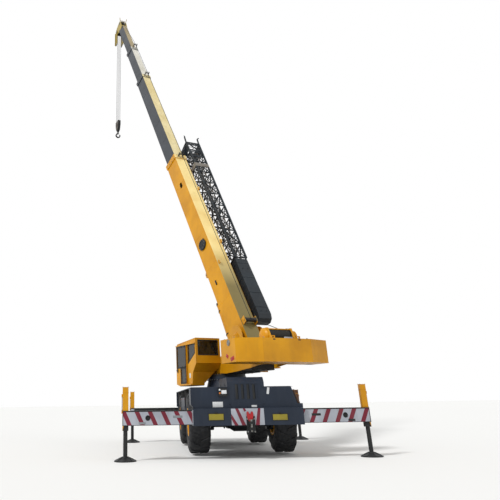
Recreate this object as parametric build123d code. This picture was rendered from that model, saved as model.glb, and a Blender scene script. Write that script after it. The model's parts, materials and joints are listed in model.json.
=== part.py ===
"""Four-wheel rough-terrain crane standing on its outriggers, boom raised and partly run out.

Millimetres. X is the carrier's right, Y its front, Z up. The origin is on the ground
under the slewing axis.
"""
from build123d import *
from collections import namedtuple
from math import atan2, cos, degrees, hypot, pi, radians, sin
import os

os.makedirs("parts", exist_ok=True)

# How the machine stands
swing_angle = 21.8            # upper works turned to the left of straight ahead
boom_angle = 59.3             # boom above level
running_gap = 0.3             # between faces that slide or turn on each other
side_gap = 6.0                # between moving pieces that pass each other

# Wheels and axles
rear_axle_y = -2000.0
front_axle_y = 1900.0
track = 2360.0
tyre_radius = 790.0
tyre_width = 600.0
tyre_lift = 40.0              # tyres hang this far above the ground
tyre_sides = 32               # flats round the tyre
lug_count = 16                # tread lugs on each half of the tread
lug_height = 28.0
lug_width = 60.0
shoulder = 75.0               # sloped shoulder between tread and side wall
bead_radius = 335.0
hub_radius = 170.0
spindle_radius = 90.0
kingpin_x = 940.0
kingpin_radius = 45.0
knuckle_height = 300.0
fork_thickness = 60.0
axle_radius = 140.0
differential_radius = 250.0

# Carrier frame
frame_half_width = 430.0
frame_top = 1500.0
frame_belly = 880.0
frame_wall = 20.0
arch_top = 1100.0
arch_half_length = 420.0
deck_top = 1710.0
deck_plate = 18.0
step_top = 1290.0             # low step outside the right deck, and the left deck's cut corner
step_width = 140.0
slope_width = 130.0           # sloping side of the right deck, in from its step
corner_cut = 90.0
body_half_width = 1470.0
tank_bottom = 1080.0
tank_top = 1480.0
tank_sheet = 6.0
pipe_length = 330.0           # exhaust tail pipe
sheet = 15.0                  # covers and decks

# Outriggers
jack_spread = 6360.0          # between left and right jacks
rear_outrigger_y = -3400.0
front_outrigger_y = 3800.0
beam_length = 2500.0
beam_width = 230.0
beam_height = 350.0
beam_wall = 14.0
beam_z = 990.0
box_length = 2860.0
box_wall = 16.0
pocket_gap = 12.0
jack_tube = 150.0
jack_tube_wall = 14.0
jack_bottom = 700.0
jack_top = 1730.0
leg_radius = 55.0
leg_top = 1070.0
float_radius = 280.0
float_height = 110.0

# Slewing ring
pedestal_radius = 700.0
ring_radius = 620.0
ring_height = 100.0
ring_top = 2090.0

# Engine and its hood
hood_half_width = 490.0
hood_rear_y = -3520.0
hood_front_y = -1850.0
hood_top = 1950.0
hood_wall = 25.0
louvre_count = 4
louvre_pitch = 150.0
louvre_width = 40.0
louvre_height = 340.0
engine_size = (640.0, 1150.0, 340.0)

# Turret
turret_plate = 30.0
turret_gap = 790.0            # clear width between the two side plates
turret_floor = 2190.0
flange_width = 60.0
cabinet_side = 1230.0         # hydraulic cabinet on the right
cabinet_rear = -1230.0
cabinet_front = 830.0
cabinet_bottom = 2330.0
cabinet_top = 2760.0
cabinet_sheet = 8.0
shelf = 30.0
pivot_forward = -1440.0
pivot_z = 3149.0
pivot_radius = 75.0
ear_radius = 380.0

# Counterweight and hoist
weight_rear = -3500.0
weight_front = -2450.0
weight_half_width = 1530.0
weight_facet_half = 800.0
weight_corner_y = -3250.0
weight_bottom = 2332.0
weight_top = 2956.0
hoist_pocket_half = 520.0
hoist_pocket_floor = 2700.0
drum_y = -3030.0
drum_z = 3050.0
drum_radius = 170.0
drum_flange_radius = 230.0
drum_half_length = 360.0
hoist_plate = 60.0

# Cab
cab_left = -1300.0
cab_right = -430.0
cab_rear = -400.0
cab_front = 1080.0
cab_floor = 1835.0
cab_roof = 3240.0
cab_wall = 35.0
glass = 6.0
door_rear = 240.0
door_front = 1000.0
door_bottom = 1880.0
door_top = 3075.0
door_thickness = 35.0

# Lift cylinder
lift_foot_forward = -950.0
lift_foot_z = 2350.0
lift_pin_along = 3200.0
lift_pin_drop = 280.0         # below the boom's bottom plate
barrel_radius = 135.0
barrel_length = 2300.0
rod_radius = 85.0
rod_inserted = 1050.0         # rod inside the barrel
eye_radius = 100.0
eye_width = 174.0
lug_plate = 40.0
lug_gap = 190.0

# Boom sections: half widths at the top and bottom, half height, wall, tail and tip from the pivot
Section = namedtuple("Section", "name top bottom half wall tail tip")
boom_sections = [
    Section("boom_base", 256.0, 355.0, 352.0, 14.0, -450.0, 9270.0),
    Section("boom_second", 214.0, 309.0, 306.0, 12.0, 7610.0, 16760.0),
    Section("boom_third", 176.0, 267.0, 263.0, 11.0, 11330.0, 20278.0),
    Section("boom_fourth", 140.0, 228.0, 223.0, 10.0, 14800.0, 23620.0),
]
collar_length = 260.0
collar_height = 28.0

# Boom head and hook
head_plate = 20.0
head_half_width = 170.0
upper_sheave_reach = 510.0    # ahead of the fourth section's tip
upper_sheave_y = boom_sections[3].tip + upper_sheave_reach
upper_sheave_z = 60.0
upper_sheave_radius = 200.0
lower_sheave_reach = 610.0
lower_sheave_y = boom_sections[3].tip + lower_sheave_reach
lower_sheave_z = -560.0
lower_sheave_radius = 230.0
nose_length = 1080.0          # folded auxiliary nose hanging at the head
nose_depth = 360.0
sheave_width = 45.0
sheave_pitch = 74.0
groove_depth = 25.0
sheave_pin_radius = 40.0
fall_length = 6600.0
rope_radius = 9.5
block_height = 620.0
block_half_width = 70.0
hook_drop = 330.0
hook_thickness = 64.0

# Fittings on the base section
cover_y = 4060.0              # round cover on the left
cover_radius = 205.0
slot_y = 7460.0               # oval hole on the left
slot_length = 300.0
slot_width = 170.0
guide_y = 350.0               # rope guide roller on top of the foot
lug_places = [(225.0, 3930.0), (225.0, 6950.0), (-200.0, 2870.0)]    # across, along

# Stowed jib
jib_root = 10120.0            # along the boom from the pivot
jib_tip = 470.0
jib_box_end = 3100.0
jib_inner_x = 480.0
jib_root_width = 640.0
jib_tip_width = 400.0
jib_low = -50.0
jib_root_top = 560.0
jib_tip_top = 420.0
chord = 60.0
brace = 36.0
jib_bays = 10


# ---- small shapes -------------------------------------------------------------

def block(x0, x1, y0, y1, z0, z1):
    """Box between two corners."""
    middle = ((x0 + x1) / 2, (y0 + y1) / 2, (z0 + z1) / 2)
    return Pos(*middle) * Box(x1 - x0, y1 - y0, z1 - z0)


def across(points, x0, x1):
    """Outline in (Y, Z) given thickness along X."""
    face = Plane.YZ.offset(x0) * Polygon(*points, align=None)
    return extrude(face, x1 - x0, dir=(1, 0, 0))


def along(points, y0, y1):
    """Outline in (X, Z) given length along Y."""
    face = Plane.XZ.offset(-y0) * Polygon(*points, align=None)
    return extrude(face, y1 - y0, dir=(0, 1, 0))


def upward(points, z0, z1):
    """Outline in (X, Y) given height."""
    face = Plane.XY.offset(z0) * Polygon(*points, align=None)
    return extrude(face, z1 - z0, dir=(0, 0, 1))


def bar_x(radius, x0, x1, y, z):
    return Pos((x0 + x1) / 2, y, z) * Rot(0, 90, 0) * Cylinder(radius, x1 - x0)


def bar_y(radius, y0, y1, x, z):
    return Pos(x, (y0 + y1) / 2, z) * Rot(90, 0, 0) * Cylinder(radius, y1 - y0)


def bar_z(radius, z0, z1, x, y):
    return Pos(x, y, (z0 + z1) / 2) * Cylinder(radius, z1 - z0)


def strut(start, end, size):
    """Square bar between two points."""
    a = Vector(*start)
    b = Vector(*end)
    plane = Plane(a, z_dir=b - a)
    return extrude(plane * Rectangle(size, size), (b - a).length)


def inset(points, distance):
    """Same outline moved inwards by a distance."""
    edges = offset(Polygon(*points, align=None), -distance).face().outer_wire().order_edges()
    return [(edge.position_at(0).X, edge.position_at(0).Y) for edge in edges]


def mirrored(shape):
    return mirror(shape, about=Plane.YZ)


def trapezoid(top, bottom, half_height):
    """Boom section outline, wider at the bottom."""
    return [(-top, half_height), (top, half_height), (bottom, -half_height), (-bottom, -half_height)]


nodes = {}

# ---- carrier ------------------------------------------------------------------

half_spread = jack_spread / 2
half_box = box_length / 2
pocket_width = beam_width + 2 * pocket_gap
pocket_height = beam_height + 2 * pocket_gap
box_half_depth = pocket_width + 1.5 * box_wall
box_top = beam_z + pocket_height / 2 + box_wall
box_bottom = beam_z - pocket_height / 2 - box_wall
pocket_offset = (pocket_width + box_wall) / 2
outrigger_rows = {"rear": rear_outrigger_y, "front": front_outrigger_y}
axle_rows = {"rear": rear_axle_y, "front": front_axle_y}
axle_z = tyre_lift + tyre_radius
frame_rear = rear_outrigger_y - 80
box_rear = rear_outrigger_y - box_half_depth
frame_front = front_outrigger_y + box_half_depth
step_x = body_half_width - step_width
slope_x = step_x - slope_width


def frame_outline():
    """Side outline of the main frame, arched over both axles."""
    points = [
        (frame_rear, box_top - box_wall), (frame_rear, frame_top), (frame_front, frame_top),
        (frame_front, box_top - box_wall),
    ]
    box_front_face = front_outrigger_y - box_half_depth
    box_rear_face = rear_outrigger_y + box_half_depth
    points += [(box_front_face, box_top - box_wall), (box_front_face, frame_belly)]
    for axle_y in (front_axle_y, rear_axle_y):
        points += [
            (axle_y + arch_half_length + 100, frame_belly),
            (axle_y + arch_half_length, arch_top),
            (axle_y - arch_half_length, arch_top),
            (axle_y - arch_half_length - 100, frame_belly),
        ]
    points += [(box_rear_face, frame_belly), (box_rear_face, box_top - box_wall)]
    return points


def outrigger_box(row_y):
    box = block(-half_box, half_box, row_y - box_half_depth, row_y + box_half_depth, box_bottom, box_top)
    for side in (-1, 1):
        middle = row_y + side * pocket_offset
        pocket = block(
            -half_box - 1, half_box + 1,
            middle - pocket_width / 2, middle + pocket_width / 2,
            beam_z - pocket_height / 2, beam_z + pocket_height / 2,
        )
        box -= pocket
        # Wear pads at the mouth that this beam leaves by
        pad = pocket_gap - running_gap
        mouth = side * (half_box - 60)
        for z0 in (beam_z - pocket_height / 2, beam_z + pocket_height / 2 - pad):
            box += block(mouth - 50, mouth + 50, middle - 90, middle + 90, z0, z0 + pad)
    return box


def carrier_frame():
    outer = frame_outline()
    body = across(outer, -frame_half_width, frame_half_width)
    body -= across(inset(outer, frame_wall), frame_wall - frame_half_width, frame_half_width - frame_wall)
    # Access holes in the side webs
    for y in (-2950, -1000, -550, 550, 1000, 2950):
        body -= bar_x(110, -frame_half_width - 1, frame_half_width + 1, y, 1250)
    for row_y in outrigger_rows.values():
        body += outrigger_box(row_y)
    pedestal = Pos(0, 0, frame_top) * Cone(
        pedestal_radius + 60, pedestal_radius - 90, ring_top - ring_height - frame_top,
        align=(Align.CENTER, Align.CENTER, Align.MIN),
    )
    ring = bar_z(ring_radius, ring_top - ring_height, ring_top, 0, 0)
    bore = bar_z(ring_radius - 110, frame_top - frame_wall - 1, ring_top + 1, 0, 0)
    return body + (pedestal + ring) - bore


def axle(row_y):
    tube_end = kingpin_x - 160
    housing = [
        (-tube_end, 0), (-tube_end, axle_radius), (-360, axle_radius), (-170, differential_radius),
        (170, differential_radius), (360, axle_radius), (tube_end, axle_radius), (tube_end, 0),
    ]
    body = Pos(0, row_y, axle_z) * revolve(Polygon(*housing, align=None), Axis.X)
    for side in (-1, 1):
        # Spring seats up to the frame
        seat_x = side * (frame_half_width - 100)
        body += block(seat_x - 70, seat_x + 70, row_y - 150, row_y + 150, axle_z, arch_top - running_gap)
        flange = sorted((side * (tube_end - 40), side * (tube_end + 20)))
        body += bar_x(knuckle_height / 2 + fork_thickness, *flange, row_y, axle_z)
        for level in (-1, 1):
            z_near = axle_z + level * (knuckle_height / 2)
            z_far = z_near + level * fork_thickness
            fork = sorted((side * tube_end, side * kingpin_x))
            lug = block(*fork, row_y - 85, row_y + 85, min(z_near, z_far), max(z_near, z_far))
            lug += bar_z(85, min(z_near, z_far), max(z_near, z_far), side * kingpin_x, row_y)
            body += lug
        hole = kingpin_radius + running_gap
        body -= bar_z(hole, axle_z - 300, axle_z + 300, side * kingpin_x, row_y)
    return body


def knuckle(side, row_y):
    half = knuckle_height / 2 - running_gap
    body = bar_z(105, axle_z - half, axle_z + half, side * kingpin_x, row_y)
    pin_half = knuckle_height / 2 + fork_thickness - 5
    body += bar_z(kingpin_radius, axle_z - pin_half, axle_z + pin_half, side * kingpin_x, row_y)
    spindle = sorted((side * kingpin_x, side * (track / 2 + 40)))
    body += bar_x(spindle_radius, *spindle, row_y, axle_z)
    return body


def tyre_ring(*sections):
    """Many-sided drum about X through (offset, radius) sections."""
    faces = [
        Plane(origin=(x, 0, 0), x_dir=(0, 1, 0), z_dir=(1, 0, 0)) * RegularPolygon(r, tyre_sides)
        for x, r in sections
    ]
    return loft(faces, ruled=True)


def tyre_body():
    """Lugged tyre about X, hollow inside and open for its rim."""
    half = tyre_width / 2
    carcass = tyre_radius - lug_height
    bead = (bead_radius + running_gap) / cos(pi / tyre_sides)
    side_wall = bead + 175
    body = tyre_ring(
        (-half, side_wall), (15 - half, carcass - 110), (shoulder - half, carcass - 15),
        (half - shoulder, carcass - 15), (half - 15, carcass - 110), (half, side_wall),
    )
    lug_depth = lug_height + 95
    lugs = []
    for side in (-1, 1):
        for i in range(lug_count):
            turn = 360 * (i + 0.25 * (1 + side)) / lug_count
            lug = Rot(0, 0, side * 24) * Box(half - 15, lug_width, lug_depth)
            lug = Pos(side * half / 2, 0, tyre_radius - lug_depth / 2) * lug
            lugs.append(Rot(turn, 0, 0) * lug)
    body += lugs
    # Lug tips follow the crown and the sloped shoulders
    limit = [
        (-half, 0), (-half, carcass - 95), (shoulder - half, tyre_radius), (half - shoulder, tyre_radius),
        (half, carcass - 95), (half, 0),
    ]
    body &= revolve(Polygon(*limit, align=None), Axis.X)
    body -= tyre_ring((120 - half, carcass - 85), (half - 120, carcass - 85))
    body -= tyre_ring((-half - 1, bead), (half + 1, bead))
    for side in (-1, 1):
        body -= tyre_ring((side * (half - 70), bead), (side * (half + 2), side_wall))
    return body


def tyre(side, row_y):
    shape = mirrored(lugged_tyre) if side < 0 else lugged_tyre
    return Pos(side * track / 2, row_y, axle_z) * shape


def rim(side, row_y):
    """Rim barrel with flanges, dished disc and hub, outer side at plus X before mirroring."""
    half = tyre_width / 2 - 55
    inner = bead_radius - 25
    bore = spindle_radius + running_gap
    outline = [
        (-half - 25, bead_radius + 25), (-half, bead_radius), (half, bead_radius),
        (half + 25, bead_radius + 25), (half + 25, inner), (120, inner), (95, hub_radius + 40),
        (200, hub_radius - 30), (200, 0), (60, 0), (60, bore), (-110, bore), (-110, hub_radius),
        (60, hub_radius + 40), (85, inner), (-half - 25, inner),
    ]
    body = revolve(Plane.XY * Polygon(*outline, align=None), Axis.X)
    if side < 0:
        body = mirrored(body)
    return Pos(side * track / 2, row_y, axle_z) * body


def engine_hood():
    """Hood over the rear frame, its skirts down to the outrigger box, with tall rear louvres."""
    low = box_top + running_gap
    profile = [
        (hood_rear_y, low), (hood_rear_y, hood_top - 130), (hood_rear_y + 110, hood_top),
        (hood_front_y - 60, hood_top), (hood_front_y, hood_top - 60), (hood_front_y, low),
    ]
    inner_half = hood_half_width - hood_wall
    body = across(profile, -hood_half_width, hood_half_width)
    body -= across(inset(profile, hood_wall), -inner_half, inner_half)
    # Open below and, at the front, round the frame
    body -= block(
        -inner_half, inner_half, hood_rear_y + hood_wall, hood_front_y - hood_wall,
        low - 1, low + 2 * hood_wall,
    )
    body -= block(
        -frame_half_width - running_gap, frame_half_width + running_gap, hood_front_y - 2 * hood_wall,
        hood_front_y + 1, low - 1, frame_top + running_gap,
    )
    # Rear louvres: tall slots in a shallow recess, each under a small sloping hood
    recess_half = louvre_count * louvre_pitch / 2 + 10
    recess_top = hood_top - 170
    body -= block(
        -recess_half, recess_half, hood_rear_y - 1, hood_rear_y + 10,
        recess_top - louvre_height - 40, recess_top,
    )
    for i in range(louvre_count):
        x = (i - (louvre_count - 1) / 2) * louvre_pitch
        edge = x - louvre_width / 2
        high_z = recess_top - 20
        low_z = high_z - louvre_height
        wall_end = hood_rear_y + hood_wall + 1
        body -= block(edge, edge + louvre_width, hood_rear_y - 1, wall_end, low_z, high_z)
        fin = [
            (edge - 14, hood_rear_y + 10), (edge, hood_rear_y + 10),
            (x - 4, hood_rear_y), (x - 14, hood_rear_y),
        ]
        body += upward(fin, low_z, high_z)
    return body


def engine_block():
    width, length, height = engine_size
    middle_y = (hood_rear_y + hood_front_y) / 2
    return Pos(0, middle_y, frame_top + height / 2) * Box(width, length, height)


def rear_decks():
    """Stowage boxes behind the rear wheels and the plates over them, left and right."""
    box_front = rear_axle_y - tyre_radius - 200
    plate_front = rear_axle_y + tyre_radius + 260
    inner_x = hood_half_width + running_gap
    plate_x = body_half_width - 60
    low = box_top + running_gap
    left_outline = [
        (-inner_x, low), (-inner_x, deck_top), (-body_half_width, deck_top), (-body_half_width, step_top),
        (corner_cut - body_half_width, low),
    ]
    right_outline = [
        (inner_x, low), (inner_x, deck_top), (slope_x, deck_top), (step_x, step_top),
        (body_half_width, step_top), (body_half_width, low),
    ]
    boxes = []
    for outline in (left_outline, right_outline):
        box = along(outline, hood_rear_y, box_front)
        boxes.append(box - along(inset(outline, sheet), hood_rear_y + sheet, box_front - sheet))
    plate_z = deck_top - deck_plate
    left_plate = block(-body_half_width, -inner_x, box_front, plate_front, plate_z, deck_top)
    right_plate = upward(
        [(inner_x, box_front), (slope_x, box_front), (plate_x, box_front + 700), (plate_x, plate_front),
         (inner_x, plate_front)], plate_z, deck_top,
    )
    return [boxes[0] + left_plate, boxes[1] + right_plate]


def front_decks():
    """Plates over the front wheels and the flat cover between them."""
    plate_rear = front_axle_y - tyre_radius - 230
    inner_x = frame_half_width - sheet
    plate_z = deck_top - deck_plate
    body = block(-body_half_width, body_half_width, plate_rear, frame_front, plate_z, deck_top)
    for side in (-1, 1):
        wall = sorted((side * inner_x, side * (inner_x - sheet)))
        body += block(*wall, plate_rear, frame_front, frame_top, plate_z)
    front_face = block(
        -body_half_width, body_half_width, frame_front - sheet, frame_front, box_top, deck_top,
    )
    body += front_face - block(
        -frame_half_width - 1, frame_half_width + 1, frame_front - sheet - 1, frame_front + 1,
        box_top - 1, frame_top,
    )
    return body


def side_tanks():
    """Fuel tank on the left with steps in its face, hydraulic tank on the right."""
    rear = rear_axle_y + tyre_radius + 280
    front = front_axle_y - tyre_radius - 250
    inner_x = frame_half_width + running_gap
    tanks = []
    for side in (-1, 1):
        span = sorted((side * inner_x, side * body_half_width))
        tank = block(*span, rear, front, tank_bottom, tank_top)
        tank -= block(
            span[0] + tank_sheet, span[1] - tank_sheet, rear + tank_sheet, front - tank_sheet,
            tank_bottom + tank_sheet, tank_top - tank_sheet,
        )
        plate = block(*span, rear, front, deck_top - deck_plate, deck_top)
        web = sorted((side * inner_x, side * (inner_x + 60)))
        outer_web = sorted((side * (body_half_width - 200), side * (body_half_width - 240)))
        tank += plate + block(*web, rear, front, tank_top - 5, deck_top - 5)
        tank += block(*outer_web, rear, front, tank_top - 5, deck_top - 5)
        tank -= bar_z(pedestal_radius + 70, frame_top - 5, deck_top + 1, 0, 0)
        tanks.append(tank)
    return tanks


def driveline():
    """Transmission under the slewing ring and the shafts to both axles."""
    body = block(-220, 220, -420, 420, 690, frame_belly - running_gap)
    shaft_z = axle_z - 40
    body += bar_y(50, rear_axle_y + differential_radius + running_gap, -420, 0, shaft_z)
    body += bar_y(50, 420, front_axle_y - differential_radius - running_gap, 0, shaft_z)
    return body


def rear_fittings():
    """Towing jaw on its plate, on the back of the rear outrigger box."""
    face_y = box_rear - running_gap
    x0 = -70
    x1 = 150
    middle = (x0 + x1) / 2
    plate = block(x0, x1, face_y - 30, face_y, 615, 1000)
    jaw = block(middle - 60, middle + 60, face_y - 150, face_y - 30, 680, 880)
    jaw -= bar_z(30, 670, 890, middle, face_y - 100)
    jaw -= block(middle - 61, middle + 61, face_y - 151, face_y - 60, 740, 820)
    return plate + jaw


def rear_lamps():
    """Lamp housing on the left deck's rear face, with a square work lamp and two round lamps sunk in it."""
    face_y = hood_rear_y - running_gap
    housing = block(-735, -505, face_y - 60, face_y, 1480, 1690)
    housing -= block(-665, -515, face_y - 61, face_y - 40, 1535, 1640)
    for z in (1560, 1640):
        housing -= bar_y(28, face_y - 61, face_y - 45, -700, z)
    return housing


def exhaust():
    """Tail pipe on the right step, leaning along the deck's side."""
    y = hood_rear_y + 160
    foot = block(step_x + 6, step_x + 100, y - 50, y + 50, step_top + running_gap, step_top + 40)
    low_end = Vector(step_x + 50, y, step_top + 20)
    lean = Vector(-slope_width, 0, deck_top - step_top).normalized()
    pipe = Plane(low_end, z_dir=lean) * Pos(0, 0, pipe_length / 2) * Cylinder(38, pipe_length)
    return foot + pipe - Plane(low_end, z_dir=lean) * Pos(0, 0, pipe_length - 95) * Cylinder(32, 200)


lugged_tyre = tyre_body()
nodes["carrier_frame"] = carrier_frame()
nodes["engine_hood"] = engine_hood()
nodes["engine_block"] = engine_block()
nodes["rear_decks"] = rear_decks()
nodes["front_decks"] = front_decks()
nodes["side_tanks"] = side_tanks()
nodes["driveline"] = driveline()
nodes["rear_fittings"] = rear_fittings()
nodes["rear_lamps"] = rear_lamps()
nodes["exhaust"] = exhaust()
for row, row_y in axle_rows.items():
    nodes[f"axle_{row}"] = axle(row_y)
    for hand, side in (("left", -1), ("right", 1)):
        nodes[f"knuckle_{row}_{hand}"] = knuckle(side, row_y)
        nodes[f"tyre_{row}_{hand}"] = tyre(side, row_y)
        nodes[f"rim_{row}_{hand}"] = rim(side, row_y)


def outrigger_beam(side, row_y):
    """Sliding beam with the jack tube welded to its outer end."""
    y = row_y + side * pocket_offset
    outer_end = side * (half_spread - jack_tube / 2)
    span = sorted((outer_end, outer_end - side * beam_length))
    low = beam_z - beam_height / 2
    body = block(*span, y - beam_width / 2, y + beam_width / 2, low, low + beam_height)
    hollow_span = sorted((outer_end - side * beam_wall, outer_end - side * (beam_length + 1)))
    body -= block(
        *hollow_span, y - beam_width / 2 + beam_wall, y + beam_width / 2 - beam_wall,
        low + beam_wall, low + beam_height - beam_wall,
    )
    body -= bar_y(55, y - beam_width, y + beam_width, side * 2600, beam_z)
    jack_x = side * half_spread
    half = jack_tube / 2
    body += block(jack_x - half, jack_x + half, y - half, y + half, jack_bottom, jack_top)
    inner = half - jack_tube_wall
    body -= block(jack_x - inner, jack_x + inner, y - inner, y + inner, jack_bottom + 40, jack_top - 15)
    body -= bar_z(leg_radius + running_gap, jack_bottom - 1, jack_bottom + 41, jack_x, y)
    return body


def jack_leg(side, row_y):
    """Round jack leg on its float."""
    x = side * half_spread
    y = row_y + side * pocket_offset
    pad = [(0, 0), (float_radius, 0), (float_radius, 20), (110, 85), (90, float_height), (0, float_height)]
    foot = revolve(Plane.XZ * Polygon(*pad, align=None), Axis.Z)
    return Pos(x, y, 0) * foot + bar_z(leg_radius, float_height - 10, leg_top, x, y)


for row, row_y in outrigger_rows.items():
    for hand, side in (("left", -1), ("right", 1)):
        nodes[f"outrigger_beam_{row}_{hand}"] = outrigger_beam(side, row_y)
        nodes[f"jack_leg_{row}_{hand}"] = jack_leg(side, row_y)

# ---- upper works, drawn facing along Y and turned by swing_angle at the end ------

upper = {}
plate_in = turret_gap / 2
plate_out = plate_in + turret_plate


def turret_plates():
    """Side plates round the boom's foot, its pivot pin between them, and the pads that carry the cab."""
    outline = [
        (1050, ring_top + 70), (1050, 2330), (-700, 2750), (pivot_forward + ear_radius, pivot_z),
        (pivot_forward - ear_radius, pivot_z), (weight_front, weight_top - 40),
        (weight_front, weight_bottom), (weight_front - 450, weight_bottom),
        (-2200, weight_bottom - 80), (-1400, turret_floor), (-700, ring_top + 70),
    ]
    plate = across(outline, plate_in, plate_out)
    plate += bar_x(ear_radius, plate_in, plate_out, pivot_forward, pivot_z)
    # Boss round the pin, and on the right a stiffening flange along the sloping top edge
    plate += bar_x(170, plate_in, plate_out + 25, pivot_forward, pivot_z)
    flange = [(1050, 2330), (-700, 2750), (-700, 2730), (1050, 2310)]
    right = plate + across(flange, plate_in, plate_out + flange_width)
    left = mirrored(plate)
    cab_face = cab_right + running_gap
    for y, low, high in ((-200, 2400, 2600), (700, 2250, 2330)):
        left += block(cab_face, -plate_out, y, y + 200, low, high)
    reach = plate_in - running_gap
    pin = bar_x(pivot_radius, -reach, reach, pivot_forward, pivot_z)
    return [right, left, pin]


def turret_base():
    """Ring flange, floor and cross walls between the side plates, with the lift cylinder's foot."""
    wide = plate_in - running_gap
    body = bar_z(ring_radius - 20, ring_top + running_gap, ring_top + 70, 0, 0)
    body += block(-wide, wide, -1400, 1050, ring_top + 70, turret_floor)
    back = pivot_forward - 700
    body += block(-wide, wide, back - 30, back, turret_floor, weight_top - 60)
    body += block(-wide, wide, back, -1380, turret_floor, turret_floor + 30)
    # Lift cylinder foot: two cheeks and their pin
    for side in (-1, 1):
        cheek = sorted((side * (eye_width / 2 + side_gap), side * (eye_width / 2 + side_gap + 40)))
        body += block(
            *cheek, lift_foot_forward - 120, lift_foot_forward + 120, turret_floor, lift_foot_z,
        )
        body += bar_x(120, *cheek, lift_foot_forward, lift_foot_z)
    pin_half = eye_width / 2 + side_gap + 1
    body += bar_x(45, -pin_half, pin_half, lift_foot_forward, lift_foot_z)
    return body


def side_cabinet():
    """Hydraulic cabinet on its shelf, right of the side plates."""
    inner = plate_out + flange_width + running_gap
    shelf_low = cabinet_bottom - shelf
    body = block(inner, cabinet_side + 20, cabinet_rear - 20, cabinet_front + 20, shelf_low, cabinet_bottom)
    cabinet = block(inner, cabinet_side, cabinet_rear, cabinet_front, cabinet_bottom, cabinet_top)
    cabinet -= block(
        inner + cabinet_sheet, cabinet_side - cabinet_sheet, cabinet_rear + cabinet_sheet,
        cabinet_front - cabinet_sheet, cabinet_bottom + cabinet_sheet, cabinet_top - cabinet_sheet,
    )
    body += cabinet
    # Ribs under the shelf, out from the side plate
    for y in (cabinet_rear + 330, 0, cabinet_front - 230):
        body += block(plate_out + running_gap, cabinet_side - 230, y, y + 30, shelf_low - 100, shelf_low)
    return body


def counterweight():
    outline = [
        (-weight_facet_half, weight_rear), (weight_facet_half, weight_rear),
        (weight_half_width, weight_corner_y), (weight_half_width, weight_front - running_gap),
        (-weight_half_width, weight_front - running_gap), (-weight_half_width, weight_corner_y),
    ]
    body = upward(outline, weight_bottom + running_gap, weight_top)
    body -= block(
        -hoist_pocket_half, hoist_pocket_half, weight_rear + 130, weight_front + 1,
        hoist_pocket_floor, weight_top + 1,
    )
    # Lifting eyes on the rear lip
    for x in (-420, 420):
        eye = block(x - 60, x + 60, weight_rear + 40, weight_rear + 80, weight_top - 5, weight_top + 70)
        body += eye - bar_y(28, weight_rear, weight_rear + 120, x, weight_top + 30)
    # Cast with a hollow in each wing
    for side in (-1, 1):
        span = sorted((side * (hoist_pocket_half + 120), side * (weight_half_width - 120)))
        body -= block(*span, weight_corner_y + 150, weight_front - 120, weight_bottom + 100, weight_top - 100)
    return body


def hoist_frame():
    outline = [
        (drum_y - 290, hoist_pocket_floor + running_gap), (drum_y - 290, drum_z - 60),
        (drum_y - 150, drum_z + 220), (drum_y + 150, drum_z + 220), (drum_y + 270, drum_z - 60),
        (drum_y + 270, hoist_pocket_floor + running_gap),
    ]
    inner = drum_half_length + side_gap
    plate = across(outline, inner, inner + hoist_plate)
    plate -= bar_x(50 + running_gap, inner - 1, inner + hoist_plate + 1, drum_y, drum_z)
    body = plate + mirrored(plate)
    for y in (drum_y - 270, drum_y + 210):
        body += block(-inner, inner, y, y + 40, hoist_pocket_floor + 5, hoist_pocket_floor + 70)
    return body


def hoist_drum():
    body = bar_x(drum_radius, -drum_half_length + 10, drum_half_length - 10, drum_y, drum_z)
    for side in (-1, 1):
        flange = sorted((side * (drum_half_length - 25), side * drum_half_length))
        body += bar_x(drum_flange_radius, *flange, drum_y, drum_z)
    reach = drum_half_length + side_gap + hoist_plate
    body += bar_x(50, -reach, reach, drum_y, drum_z)
    return body


cab_outline = [
    (cab_rear, cab_roof), (cab_front - 90, cab_roof - 90), (cab_front, cab_roof - 170),
    (cab_front, 2030), (cab_front - 200, cab_floor), (-70, cab_floor), (-150, 2230), (cab_rear, 2490),
]
cab_section = [
    (cab_left, cab_floor - 1), (cab_left, cab_roof + 1), (cab_right, cab_roof + 1), (cab_right, 2330),
    (-870, 1900), (-870, cab_floor - 1),
]
# Window cut-outs: wall, then their outline in that wall's own two axes
side_front_window = [
    (door_rear + 60, 2420), (door_front - 70, 2420), (door_front - 70, 3030), (door_rear + 60, 3030),
]
side_rear_window = [(-310, 2800), (170, 2520), (170, 3050), (-310, 3070)]
right_window = [(-250, 2560), (950, 2560), (950, 3000), (-250, 3050)]
rear_window = [(-1210, 2740), (-520, 2740), (-520, 3170), (-1210, 3170)]
front_window = [(-1230, 2140), (-500, 2140), (-500, 3010), (-1230, 3010)]


def cab_shell():
    body = across(cab_outline, cab_left, cab_right)
    body &= along(cab_section, cab_rear - 1, cab_front + 1)
    body -= across(inset(cab_outline, cab_wall), cab_left, cab_right) & along(
        inset(cab_section, cab_wall), cab_rear, cab_front
    )
    # Door opening, side, rear, front and roof windows
    body -= block(
        cab_left - 1, cab_left + cab_wall + 1, door_rear + 25, door_front - 25,
        door_bottom + 60, door_top - 25,
    )
    body -= across(side_rear_window, cab_left - 1, cab_left + cab_wall + 1)
    body -= across(right_window, cab_right - cab_wall - 1, cab_right + 1)
    body -= along(rear_window, cab_rear - 1, cab_rear + cab_wall + 1)
    body -= along(front_window, cab_front - cab_wall - 1, cab_front + 1)
    # Rails of the sliding door
    rail_x = cab_left - door_thickness - 20
    body += block(rail_x, cab_left, cab_rear, door_front + 20, door_top + running_gap, door_top + 30)
    low_rail = door_bottom - running_gap
    body += block(rail_x, cab_left, cab_rear + 330, door_front - 130, low_rail - 30, low_rail)
    return body


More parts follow.
